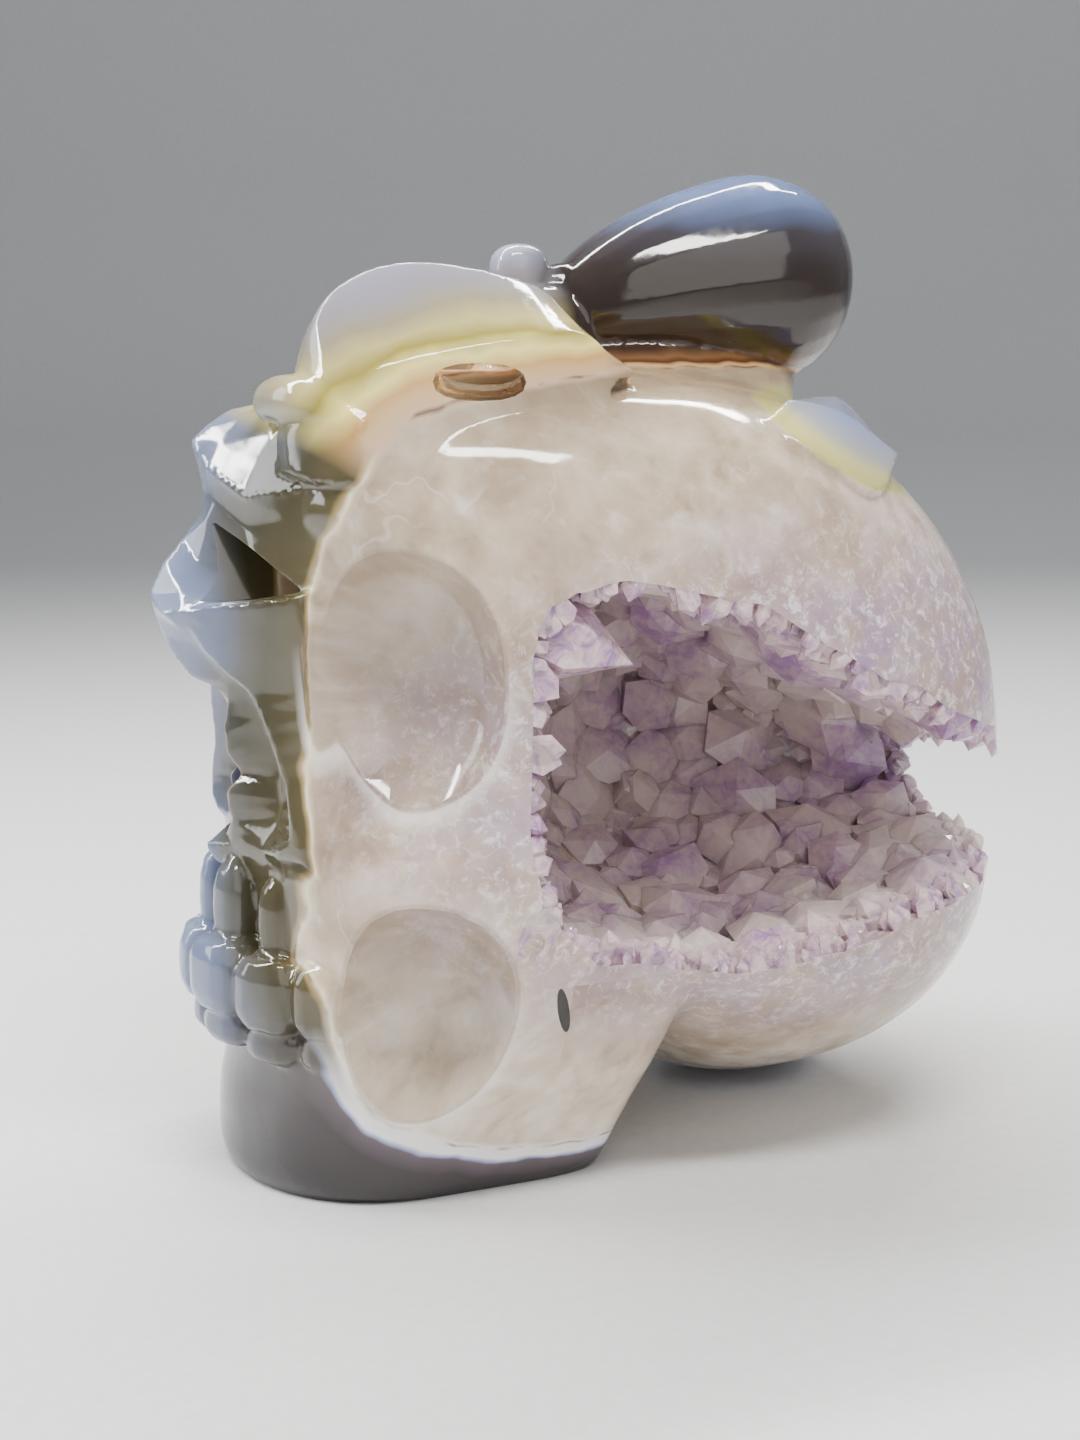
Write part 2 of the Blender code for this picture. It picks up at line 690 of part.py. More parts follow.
def crust(outline):
    """The hollow's lining with the crystals that grow from it, kept inside the stone's outline."""
    dice = random.Random(CRYSTAL_SEED)
    outer = hollow("crust_outer", HOLLOW_GAP)
    spots = wall_spots(outer.data, CRYSTAL_COUNT, dice)
    lining = hollow("lining", HOLLOW_GAP - 1.0, 2.0)
    combine(lining, [hollow("crust_inner", HOLLOW_GAP + CRUST_THICKNESS, 5.0)], "DIFFERENCE")
    grown = [lining]
    for place, inward in spots:
        toward = (Vector(HOLLOW_HEART) - place).normalized()
        sway = Vector([dice.uniform(-0.35, 0.35) for _ in range(3)])
        heading = inward * 0.75 + toward * 0.35 + sway
        length = dice.uniform(*CRYSTAL_LENGTHS)
        radius = length * dice.uniform(0.32, 0.46)
        grown.append(crystal_object("point", place, heading, length, radius, dice.uniform(0, 1)))
    rough = merged("amethyst_crust", grown)
    combine(rough, [outer], "INTERSECT", crosses_itself=True)
    combine(rough, [outline], "INTERSECT")
    return keep_largest(rough)


def build_stone():
    swells = both_sides([ball("temple_swell", (23.0, -44.0, 106.0), (14.0, 12.5, 10.5))])
    soft = melt("soft", [braincase(), jaw(), bulb_seat()] + swells, BLEND_VOXEL, 4)
    crisp = both_sides([hind_leg(), leg_root()] + teeth())
    crisp += [face(), near_fore_leg(), curled_foot(), bulb()] + head_knobs()
    crisp.append(moved_across(near_fore_leg(), FAR_LEG_SHIFT))
    crisp.append(moved_across(curled_foot(), FAR_FOOT_SHIFT))
    stone = melt("skull", [soft] + crisp, STONE_VOXEL, 1)
    thin_out(stone, ROUGH_TRIANGLES)
    cuts = both_sides([eye_socket(), temple_scoop(), jaw_scoop(), leg_arch(), ramus_step()])
    cuts += [nose_opening(), jaw_hollow(), side_slit(), floor_cut()]
    combine(stone, cuts, "DIFFERENCE")
    stone = thin_out(melt("stone", [stone], STONE_VOXEL, 0), STONE_TRIANGLES)
    flatten_base(stone)
    return stone


def flatten_base(thing):
    """Sets what rests on the floor exactly level with it."""
    for vert in thing.data.vertices:
        if vert.co.z < FLOOR_SNAP:
            vert.co.z = 0.0


def middle_of(things):
    """The middle of the box round all the things, level with the floor."""
    xs = [vert.co.x for thing in things for vert in thing.data.vertices]
    ys = [vert.co.y for thing in things for vert in thing.data.vertices]
    return Vector(((min(xs) + max(xs)) / 2, (min(ys) + max(ys)) / 2, 0.0))


def finish(thing, name, shift, colour, roughness):
    """Gives a finished solid its name, place, size in metres, shading and material."""
    thing.name = name
    thing.data.transform(Matrix.Scale(METRES, 4) @ Matrix.Translation(shift))
    thing.data.shade_smooth()
    thing.data.set_sharp_from_angle(angle=math.radians(35))
    surface = bpy.data.materials.new(name)
    surface.use_nodes = True
    shader = surface.node_tree.nodes["Principled BSDF"]
    shader.inputs["Base Color"].default_value = colour
    shader.inputs["Roughness"].default_value = roughness
    shader.inputs["Metallic"].default_value = 0.0
    thing.data.materials.clear()
    thing.data.materials.append(surface)


def main():
    clear_scene()
    stone = build_stone()
    lining = crust(add_object("outline", stone.data.copy()))
    combine(stone, [hollow("hollow", 0.0)], "DIFFERENCE")
    shift = -middle_of([stone, lining])
    finish(stone, "skull_carving", shift, AGATE_COLOUR, POLISHED)
    finish(lining, "amethyst_crust", shift, AMETHYST_COLOUR, GLASSY)


main()
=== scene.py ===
"""The agate skull's looks: the carved stone and the crystals in its hollow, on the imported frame.

The forms are drawn in millimetres as in the part's own source, in finer steps. They are then
shifted and scaled into the frame, which is in metres with +Z up and the face towards -Y.
"""

import math
import random

import bmesh
import bpy
from mathutils import Matrix, Vector
from mathutils.bvhtree import BVHTree


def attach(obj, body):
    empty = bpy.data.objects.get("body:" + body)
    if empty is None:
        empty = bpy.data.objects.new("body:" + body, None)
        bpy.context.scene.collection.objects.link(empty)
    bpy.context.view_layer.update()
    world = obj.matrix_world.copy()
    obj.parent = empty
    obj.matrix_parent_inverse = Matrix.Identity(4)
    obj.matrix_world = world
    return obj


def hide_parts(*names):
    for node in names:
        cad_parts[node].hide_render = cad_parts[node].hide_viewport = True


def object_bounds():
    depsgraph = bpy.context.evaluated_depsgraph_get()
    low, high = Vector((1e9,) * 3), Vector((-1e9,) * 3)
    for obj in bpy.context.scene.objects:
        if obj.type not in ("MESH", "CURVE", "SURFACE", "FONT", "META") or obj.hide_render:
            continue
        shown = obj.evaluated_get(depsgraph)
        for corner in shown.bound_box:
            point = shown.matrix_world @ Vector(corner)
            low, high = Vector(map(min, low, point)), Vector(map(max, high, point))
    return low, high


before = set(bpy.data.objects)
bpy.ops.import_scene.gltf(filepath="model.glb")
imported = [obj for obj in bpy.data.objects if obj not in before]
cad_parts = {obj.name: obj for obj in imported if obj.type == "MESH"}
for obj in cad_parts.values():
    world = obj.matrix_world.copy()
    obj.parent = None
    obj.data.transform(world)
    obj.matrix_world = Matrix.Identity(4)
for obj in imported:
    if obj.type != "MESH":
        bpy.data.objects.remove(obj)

CAD_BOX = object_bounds()

# Driving dimensions, in millimetres
ARCH_CENTRE_Y = -45.0
ARCH_HALF_WIDTH = 30.0
ARCH_DEPTH = 23.0
ARCH_POWER = 1.6
BITE_Z = 27.0
BITE_RISE = 2.0
TOOTH_WIDTHS = [12.0, 11.5, 9.5, 8.5]
TOOTH_INSET = 3.8
FACE_THICKNESS = 16.0
CREASED_LINES = (2, 6)
LEAN_TOP = 42.0
FOOT_LEAN = 15.0
FAR_CHEEK_SET_BACK = 5.0
FAR_BROW_SET_BACK = 2.0
FAR_LEG_SHIFT = (0.0, 20.0, -7.0)
FAR_FOOT_SHIFT = (0.0, 12.0, -1.0)
BULB_CENTRE = (0.0, 30.5, 140.8)
BULB_RADIUS = 17.8
HOLLOW_FRONT_DEPTH = 14.0
HOLLOW_HEART = (20.0, 20.0, 62.0)
CRYSTAL_SEED = 7

# From the drawing's own place to the middle of the frame
DRAWING_SHIFT = (0.233, 0.578, 0.0)
MILLIMETRE = 0.001

# How finely the stone is rebuilt and how far it is thinned out again
BLEND_VOXEL = 1.6
STONE_VOXEL = 0.58
ROUGH_TRIANGLES = 150000
STONE_TRIANGLES = 170000
SHARP_ANGLE = 35.0

# The crystals
CRYSTAL_SHOULDER = 0.5
SKIN_INSET = 0.02
# how far from the polished skin, how many, shortest and longest in millimetres, and the
# least and greatest radius by length
CRYSTAL_SETS = [
    ((7.0, 99.0), 260, 3.2, 6.2, 0.85, 1.5),
    ((5.0, 99.0), 330, 2.0, 3.8, 0.75, 1.2),
    ((-1.5, 7.0), 520, 1.8, 3.8, 0.36, 0.6),
    ((-1.5, 6.0), 120, 3.4, 5.6, 0.36, 0.55),
]
PLACE_TRIES = 6
NEIGHBOURS_SEEN = 160
SEED_STEP = 10000
# place, heading, length and radius of the crystals that stand out
LARGE_CRYSTALS = [
    ((37.0, -27.0, 90.0), (0.30, 0.75, -0.40), 17.0, 7.0),
    ((42.0, -18.0, 37.5), (0.15, 0.20, 1.0), 12.0, 4.6),
    ((42.5, -29.0, 43.0), (0.20, 0.50, 1.0), 8.0, 3.6),
    ((44.0, -8.0, 35.5), (0.10, 0.30, 1.0), 6.0, 2.8),
]

# The quartz inside the geode, about which the agate's bands lie
QUARTZ_CENTRE = (0.0, 20.0, 66.0)
QUARTZ_REACH = (58.0, 75.5, 60.0)
QUARTZ_ROUNDNESS = 4.6
BAND_SCALE = 65.0
BAND_DEPTH = 30.0
# Across the far side of the face the bands reach deeper: from and to in x and in y, and how much
FAR_FACE_X = (3.0, -6.0)
FAR_FACE_Y = (-44.0, -54.0)
FAR_FACE_DEPTH = 7.0
# centre, radii and turn of the scoops in the temple and the jaw, about which shade and a highlight rim
# are painted
SCOOPS = [
    ((42.2, -50.8, 81.0), (17.5, 17.6, 21.0), -50.0),
    ((43.4, -46.6, 30.0), (16.0, 17.0, 20.5), -37.0),
]
SCOOP_POWER = 2.25
HOLLOW_MIDDLE = (22.0, 22.0, 64.0)
HOLLOW_REACH = (52.0, 50.0, 28.0)

# The photograph's view, and the light
CAMERA_TURN = 66.0
CAMERA_DIP = 9.0
CAMERA_LENS = 50.0
CAMERA_SENSOR = 36.0
LIGHTS_AIM = (0.0, 0.0, 0.075)
CAMERA_PLACE = (299.7, -141.7, 120.9)
# name, place, width, length, way its length runs, power and colour
ALONG_VIEW = (0.41, 0.91, 0.0)
LIGHTS = [
    ("overhead", (0.25, -0.04, 0.56), 0.07, 0.30, ALONG_VIEW, 3.6, (1.0, 0.98, 0.95)),
    ("strip", (-0.24, -0.10, 0.58), 0.045, 1.30, (0, 1, 0), 13.0, (1.0, 0.99, 0.97)),
    ("front", (-0.40, -0.75, 0.40), 0.25, 0.50, (0, 0, 1), 2.6, (0.94, 0.97, 1.0)),
    ("side", (1.60, -0.10, 0.90), 1.60, 1.60, (0, 0, 1), 13.0, (1.0, 0.97, 0.92)),
]
ROOM_COLOUR = (0.80, 0.84, 0.90, 1.0)
ROOM_STRENGTH = 0.38


def add_object(name, mesh):
    thing = bpy.data.objects.new(name, mesh)
    bpy.context.scene.collection.objects.link(thing)
    return thing


def flow(stations, steps):
    """Rows of numbers on a smooth curve through the stations, steps to each gap."""
    rows = []
    last = len(stations) - 1
    for i in range(last):
        before, a = stations[max(i - 1, 0)], stations[i]
        b, after = stations[i + 1], stations[min(i + 2, last)]
        for k in range(steps):
            t = k / steps
            rows.append([
                0.5 * (2 * q + (r - p) * t + (2 * p - 5 * q + 4 * r - s) * t * t
                       + (3 * q - p - 3 * r + s) * t ** 3)
                for p, q, r, s in zip(before, a, b, after)
            ])
    rows.append(list(stations[last]))
    return rows


def loft(name, rings):
    """A closed skin over rings of equal point counts, with a flat cap on each end."""
    form = bmesh.new()
    rows = [[form.verts.new(point) for point in ring] for ring in rings]
    count = len(rows[0])
    for lower, upper in zip(rows, rows[1:]):
        for i in range(count):
            j = (i + 1) % count
            form.faces.new((lower[i], lower[j], upper[j]))
            form.faces.new((lower[i], upper[j], upper[i]))
    form.faces.new(rows[0])
    form.faces.new(rows[-1])
    bmesh.ops.recalc_face_normals(form, faces=form.faces)
    mesh = bpy.data.meshes.new(name)
    form.to_mesh(mesh)
    form.free()
    return add_object(name, mesh)


def rounded(angle, power):
    """The point at an angle on a unit superellipse."""
    c, s = math.cos(angle), math.sin(angle)
    return (math.copysign(abs(c) ** (2 / power), c), math.copysign(abs(s) ** (2 / power), s))


def plan_ring(z, front, middle, back, half_width, front_power, back_power, sides):
    """A level outline that is widest at middle, with its own roundness in front and behind."""
    ring = []
    for i in range(sides):
        angle = 2 * math.pi * i / sides
        ahead = math.sin(angle) < 0
        u, v = rounded(angle, front_power if ahead else back_power)
        reach = middle - front if ahead else back - middle
        ring.append((u * half_width, middle + v * reach, z))
    return ring


def stack(name, stations, back_power, sides=40, steps=4):
    """A form built up of level outlines.

    A station is (z, front, middle, back, half width, roundness in front)."""
    rings = [plan_ring(*row, back_power, sides) for row in flow(stations, steps)]
    return loft(name, rings)


def sweep(name, stations, power=2.0, sides=16, steps=4, roll_axis=(1, 0, 0)):
    """A form along a curve. A station is (x, y, z, half width, half height, roll in degrees).

    The width runs along roll_axis before the roll, and the height across it."""
    rows = flow(stations, steps)
    rings = []
    for i, (x, y, z, width, height, roll) in enumerate(rows):
        a, b = rows[max(i - 1, 0)], rows[min(i + 1, len(rows) - 1)]
        along = Vector((b[0] - a[0], b[1] - a[1], b[2] - a[2])).normalized()
        side = Vector(roll_axis) - along * along.dot(Vector(roll_axis))
        side = Matrix.Rotation(math.radians(roll), 3, along) @ side.normalized()
        up = along.cross(side)
        ring = []
        for k in range(sides):
            u, v = rounded(2 * math.pi * k / sides, power)
            ring.append(Vector((x, y, z)) + side * (u * width) + up * (v * height))
        rings.append(ring)
    return loft(name, rings)


def ball(name, centre, radii, turn=(0, 0, 0), power=2.0, sides=28):
    """A rounded lump. turn is in degrees about X, Y and Z."""
    form = bmesh.new()
    bmesh.ops.create_uvsphere(form, u_segments=sides, v_segments=sides // 2, radius=1.0)
    spin = Matrix.Rotation(math.radians(turn[2]), 3, "Z")
    spin = spin @ Matrix.Rotation(math.radians(turn[1]), 3, "Y")
    spin = spin @ Matrix.Rotation(math.radians(turn[0]), 3, "X")
    for vert in form.verts:
        size = sum(abs(c) ** power for c in vert.co) ** (1 / power)
        point = Vector([c * r / size for c, r in zip(vert.co, radii)])
        vert.co = spin @ point + Vector(centre)
    mesh = bpy.data.meshes.new(name)
    form.to_mesh(mesh)
    form.free()
    return add_object(name, mesh)


def mirrored(thing):
    """The same form on the other side of the middle plane."""
    mesh = thing.data.copy()
    mesh.transform(Matrix.Diagonal((-1, 1, 1, 1)))
    mesh.flip_normals()
    return add_object(thing.name + "_far", mesh)


def both_sides(things):
    return things + [mirrored(thing) for thing in things]


def settle(thing):
    """Replaces the object's mesh by the mesh that its modifiers give."""
    bpy.context.view_layer.update()
    done = bpy.data.meshes.new_from_object(thing.evaluated_get(bpy.context.evaluated_depsgraph_get()))
    thing.modifiers.clear()
    thing.data = done
    return thing


def merged(name, things):
    """All the forms in one object, which still cross each other."""
    form = bmesh.new()
    for thing in things:
        form.from_mesh(thing.data)
        bpy.data.objects.remove(thing, do_unlink=True)
    mesh = bpy.data.meshes.new(name)
    form.to_mesh(mesh)
    form.free()
    return add_object(name, mesh)


def melt(name, things, voxel, passes):
    """The forms grown together into one skin, with their joins softened."""
    body = merged(name, things)
    remesh = body.modifiers.new("skin", "REMESH")
    remesh.mode = "VOXEL"
    remesh.voxel_size = voxel
    if passes:
        soften = body.modifiers.new("soften", "SMOOTH")
        soften.factor = 0.5
        soften.iterations = passes
    return settle(body)


def thin_out(thing, triangles):
    thing.data.calc_loop_triangles()
    cut = thing.modifiers.new("thin", "DECIMATE")
    cut.ratio = min(1.0, triangles / len(thing.data.loop_triangles))
    cut.use_collapse_triangulate = True
    return settle(thing)


def combine(thing, tools, operation, crosses_itself=False):
    """Cuts the tools from the object, or keeps what they share with it, one after another."""
    for tool in tools:
        step = thing.modifiers.new(tool.name, "BOOLEAN")
        step.operation = operation
        step.solver = "EXACT"
        step.use_self = crosses_itself
        step.object = tool
    settle(thing)
    for tool in tools:
        bpy.data.objects.remove(tool, do_unlink=True)
    return thing


# The head


def braincase():
    """The head without its face. It hangs low behind, and leans over to the far side there."""
    head = stack("braincase", [
        (-1.0, 30.0, 36.0, 42.0, 4.5, 2.1),
        (1.0, 25.0, 35.0, 45.0, 7.5, 2.1),
        (5.0, 17.0, 33.0, 52.0, 17.0, 2.1),
        (12.0, 8.0, 30.0, 59.0, 28.0, 2.1),
        (22.0, -4.0, 26.0, 65.0, 38.0, 2.2),
        (34.0, -20.0, 20.0, 69.5, 45.0, 2.2),
        (46.0, -46.0, 14.0, 71.5, 48.0, 2.3),
        (58.0, -54.0, 12.0, 72.0, 50.0, 2.4),
        (70.0, -56.0, 12.0, 71.0, 50.5, 2.45),
        (84.0, -57.5, 10.0, 68.0, 50.0, 2.5),
        (98.0, -58.5, 6.0, 60.5, 48.0, 2.7),
        (107.0, -58.0, 2.0, 52.5, 45.5, 2.9),
        (114.0, -55.5, -2.0, 44.0, 42.0, 2.9),
        (119.0, -52.0, -5.0, 36.0, 37.0, 2.8),
        (123.0, -45.0, -6.0, 28.0, 30.0, 2.6),
        (126.0, -32.0, -8.0, 15.0, 17.0, 2.4),
    ], 2.2, sides=56)
    for vert in head.data.vertices:
        drop = max(0.0, 1.0 - vert.co.z / LEAN_TOP)
        vert.co.x -= FOOT_LEAN * drop * drop
    return head


def jaw():
    return stack("jaw", [
        (-1.0, -61.0, -38.0, -6.5, 25.0, 2.1),
        (0.6, -62.2, -38.0, -6.0, 26.2, 2.1),
        (4.0, -63.0, -38.0, -5.0, 27.8, 2.1),
        (12.0, -62.5, -36.0, -2.5, 31.5, 2.1),
        (19.0, -60.5, -34.0, 0.0, 35.0, 2.1),
        (28.0, -59.5, -32.0, 3.0, 38.5, 2.1),
        (38.0, -59.5, -30.0, 6.0, 42.0, 2.1),
        (50.0, -60.0, -28.0, 8.0, 44.5, 2.1),
        (57.0, -58.5, -26.0, 8.0, 44.0, 2.1),
        (65.0, -55.0, -24.0, 6.0, 41.0, 2.1),
        (73.0, -50.0, -20.0, 2.0, 34.0, 2.1),
    ], 7.0, sides=56)


def face_lines():
    """Level lines over the left half of the face, each from the middle plane outward."""
    return [
        [(0, -50, 121.5), (5, -50, 121), (13, -49, 119.5), (21, -48.5, 117.5), (28, -46, 116)],
        [(0, -60, 120), (5, -59, 119), (13, -56.5, 117), (21, -53, 116), (28, -49.5, 115)],
        [(0, -66, 115.5), (5, -65, 111.5), (13, -61.5, 107.5), (21, -57.5, 108.5), (28, -54.5, 110)],
        [(0, -64.5, 109), (4.5, -64, 107), (11, -61, 103), (20, -58, 100), (28, -54.5, 103)],
        [(0, -64.5, 104.5), (4, -65, 104), (14, -60.5, 98), (24, -56.5, 94), (27.5, -54.5, 96)],
        [(0, -70.5, 97.5), (5, -66.5, 97), (13, -59, 95), (23, -56, 94), (27, -54.5, 95)],
        [(0, -73, 92.5), (6.5, -72.5, 90), (9, -70.5, 90.5), (14, -66, 91.5), (26, -57.5, 93.5)],
        [(0, -71, 85.5), (6, -67.5, 85), (8, -67, 85), (10, -67.5, 84.5), (26.5, -56.5, 85.5)],
        [(0, -67, 79.5), (6, -63, 79), (10, -61, 79), (16, -62.5, 79), (26.5, -55.5, 79.5)],
        [(0, -61, 75), (5.5, -63, 74), (12, -59, 74), (19.5, -61, 74), (26, -55.5, 74)],
        [(0, -59, 68), (5, -64, 68), (13, -57, 68), (22, -59.5, 67.5), (26, -55.5, 68)],
        [(0, -58, 65), (6, -61, 65), (14, -57, 65), (23, -59, 64.5), (26, -56, 65)],
        [(0, -58, 62.5), (5, -64.5, 62.5), (14, -57, 62), (24, -59, 62), (26.5, -56.5, 62)],
        [(0, -59, 57.5), (5, -62.5, 57.5), (14, -58, 57.5), (24.5, -59, 57.5), (27, -57, 57.5)],
        [(0, -65.5, 53), (5, -62.5, 53.5), (13, -60, 54), (20, -60, 54.5), (26.5, -57.5, 55)],
        [(0, -61.5, 47.5), (5, -60.5, 47.5), (12, -58, 47.5), (19, -55, 47.5), (26, -51, 47)],
        [(0, -58, 38), (5, -57, 38), (12, -54, 38), (19, -50, 38), (25, -45, 38)],
    ]


def face():
    """A thick sheet of stone over the front of the head: brows, cheeks and nose.

    The far side's nose and cheek are set back, as they stay hidden behind the near side's."""
    lines = []
    for i, line in enumerate(face_lines()):
        lines += [[value for point in line for value in point]] * (2 if i in CREASED_LINES else 1)
    rows = []
    for row in flow(lines, 2):
        line = [row[i:i + 3] for i in range(0, len(row), 3)]
        low = 50 < line[0][2] < 96
        far = []
        for x, y, z in line[:0:-1]:
            set_back = FAR_CHEEK_SET_BACK if low else FAR_BROW_SET_BACK
            far.append((-x, y + set_back * (1 - x / 32), z))
        rows.append(far + list(line))
    form = bmesh.new()
    front = [[form.verts.new(p) for p in row] for row in rows]
    back = [[form.verts.new((p[0] * 0.8, p[1] + FACE_THICKNESS, p[2])) for p in row] for row in rows]
    last = len(rows[0]) - 1
    for upper, lower in zip(range(len(rows) - 1), range(1, len(rows))):
        for i in range(last):
            form.faces.new((front[upper][i], front[lower][i], front[lower][i + 1], front[upper][i + 1]))
            form.faces.new((back[upper][i], back[upper][i + 1], back[lower][i + 1], back[lower][i]))
        for i in (0, last):
            form.faces.new((front[upper][i], back[upper][i], back[lower][i], front[lower][i]))
    for row in (0, len(rows) - 1):
        for i in range(last):
            form.faces.new((front[row][i], front[row][i + 1], back[row][i + 1], back[row][i]))
    bmesh.ops.triangulate(form, faces=form.faces)
    bmesh.ops.recalc_face_normals(form, faces=form.faces)
    mesh = bpy.data.meshes.new("face")
    form.to_mesh(mesh)
    form.free()
    return add_object("face", mesh)


# The teeth


def on_arch(distance):
    """The point on the dental arch at a distance along it from the front, and its heading."""
    steps = 200
    travelled, i = 0.0, 0
    x, y, heading = 0.0, -1.0, 0.0
    while travelled < distance:
        u, v = rounded(math.pi / 2 * (1 - (i + 1) / steps), ARCH_POWER)
        dx, dy = (u - x) * ARCH_HALF_WIDTH, (-v - y) * ARCH_DEPTH
        travelled += math.hypot(dx, dy)
        heading = math.atan2(dy, dx)
        x, y, i = u, -v, i + 1
    return x * ARCH_HALF_WIDTH, ARCH_CENTRE_Y + y * ARCH_DEPTH, math.degrees(heading)


def teeth():
    made = []
    along = 0.0
    for i, width in enumerate(TOOTH_WIDTHS):
        x, y, heading = on_arch(along + width / 2)
        along += width
        inward = math.radians(heading + 90)
        cx, cy = x + TOOTH_INSET * math.cos(inward), y + TOOTH_INSET * math.sin(inward)
        turn = (0, 0, heading)
        half = width * 0.51
        bite = BITE_Z + BITE_RISE * max(0.0, 1 - x / 14)
        rx, ry = cx + 1.6 * math.cos(inward), cy + 1.6 * math.sin(inward)
        made.append(ball("upper_crown", (cx, cy, bite + 5.6), (half, 5.4, 6.2), turn, 3.6, 16))
        made.append(ball("root", (rx, ry, bite + 15.5), (half * 0.6, 3.6, 8.0), turn, 2.6, 16))
        made.append(ball("lower_crown", (rx, ry, bite - 2.6), (half * 0.98, 4.9, 3.6), turn, 2.8, 16))
    return made


# The figure on the crown


def bulb():
    """The egg-shaped rear of the figure, with its narrow end forward and down."""
    x, y, z = BULB_CENTRE
    r = BULB_RADIUS
    return sweep("bulb", [
        (x, y + 16.4, z + 2.6, 1.5, 1.5, 0),
        (x, y + 15.2, z + 2.4, 7.5, 7.5, 0),
        (x, y + 10.0, z + 1.8, 14.4, 14.0, 0),
        (x, y + 1.0, z + 0.5, r, r - 0.4, 0),
        (x, y - 10.0, z - 1.0, 17.0, 16.2, 0),
        (x, y - 20.0, z - 2.8, 14.6, 13.8, 0),
        (x, y - 29.0, z - 5.2, 11.0, 10.4, 0),
        (x, y - 35.5, z - 7.4, 7.0, 6.6, 0),
        (x, y - 38.6, z - 8.6, 2.6, 2.4, 0),
    ], sides=28)


def bulb_seat():
    """The low neck of stone that joins the bulb to the crown."""
    return stack("bulb_seat", [
        (114.0, -14.0, 8.0, 34.0, 24.0, 2.2),
        (122.0, -14.0, 9.0, 36.0, 20.0, 2.2),
        (127.0, -10.0, 12.0, 38.0, 15.0, 2.2),
        (131.0, -3.0, 16.0, 40.0, 11.0, 2.2),
    ], 2.2, sides=32)


def head_knobs():
    return [
        ball("knob_front", (0.0, -12.0, 142.0), (4.2, 4.6, 4.0), (0, 0, 0), 2.6, 20),
        ball("knob_rear", (-0.5, -5.5, 139.0), (4.4, 4.4, 4.0), (20, 0, 0), 2.6, 20),
        ball("chest", (0.0, -8.0, 131.0), (9.0, 12.0, 9.0), (0, 0, 0), 2.2, 24),
    ]


def fore_leg(sections):
    """The broad arched leg that stands along one side of the crown, with its point behind.

    A section gives y, the crest x and z, the ridge x and z, the foot x and z, and the inner x."""
    rings = []
    for y, cx, cz, rx, rz, fx, fz, ix in flow(sections, 4):
        rings.append([(ix, y, fz), (fx, y, fz), (rx, y, rz), (cx, y, cz), (ix, y, cz - 2.5)])
    return loft("fore_leg", rings)


def near_fore_leg():
    return fore_leg([
        (-58.0, 20.5, 118.0, 23.0, 116.5, 24.5, 111.0, 18.0),
        (-56.0, 20.5, 122.0, 26.0, 119.0, 29.0, 110.0, 16.5),
        (-52.5, 20.5, 133.5, 29.5, 122.0, 33.5, 110.0, 15.0),
        (-47.0, 20.0, 138.8, 31.5, 125.5, 35.5, 110.0, 14.0),
        (-38.0, 19.5, 141.4, 32.5, 128.0, 36.0, 110.0, 13.5),
        (-28.0, 19.5, 140.8, 32.8, 129.8, 36.5, 110.0, 13.5),
        (-18.0, 21.0, 138.2, 32.8, 131.0, 36.5, 111.0, 15.0),
        (-14.0, 23.5, 133.8, 32.6, 130.0, 35.5, 115.0, 18.0),
        (-11.5, 26.0, 130.4, 32.2, 128.0, 33.5, 123.0, 21.0),
        (-8.0, 29.4, 127.0, 31.2, 126.2, 31.8, 124.6, 27.0),
        (-6.4, 30.4, 125.8, 30.9, 125.4, 31.1, 124.8, 29.8),
    ])


def moved_across(near, shift):
    """The near form taken over to the far side, and shifted there."""
    far = mirrored(near)
    bpy.data.objects.remove(near, do_unlink=True)
    far.data.transform(Matrix.Translation(shift))
    return far


def curled_foot():
    return sweep("curled_foot", [
        (11.0, -57.0, 120.5, 2.4, 2.2, 0),
        (15.0, -57.2, 121.2, 3.4, 3.0, 0),
        (21.0, -55.8, 121.2, 3.8, 3.2, 0),
        (27.0, -52.5, 119.5, 3.4, 3.0, 0),
        (32.0, -49.0, 117.0, 2.2, 2.0, 0),
    ], roll_axis=(0, 0, 1))


def hind_leg():
    """The leg folded down along the back of the crown, a leaf-shaped blade with a sharp lower edge.

    A section gives a point of the lower edge and one of the upper edge."""
    rings = []
    for lx, ly, lz, ux, uy, uz in flow([
        (35.5, 13.0, 118.2, 25.0, 23.0, 121.0),
        (39.8, 17.0, 115.0, 18.0, 32.5, 122.0),
        (41.8, 21.8, 111.6, 14.5, 39.0, 122.0),
        (42.0, 27.2, 108.4, 13.0, 43.5, 119.6),
        (39.0, 32.4, 107.8, 14.0, 46.0, 116.0),
        (34.0, 36.6, 109.2, 18.0, 45.6, 112.8),
        (29.0, 39.6, 110.4, 23.0, 43.2, 111.4),
    ], 3):
        low, high = Vector((lx, ly, lz)), Vector((ux, uy, uz))
        swell = (low + high) / 2 + Vector((1.4, 1.4, 2.0))
        under = low + Vector((-5.0, -3.0, -3.5))
        rings.append([under, low, swell, high, high + Vector((-5.0, -5.0, -6.0))])
    return loft("hind_leg", rings)


def leg_root():
    """Joins the foreleg's inner side to the figure's chest."""
    return sweep("leg_root", [
        (2.0, -10.0, 130.0, 6.0, 5.0, 0),
        (12.0, -14.0, 131.0, 5.5, 4.5, 0),
        (22.0, -18.0, 129.0, 5.0, 4.5, 0),
    ], roll_axis=(0, 1, 0))


# What is ground away


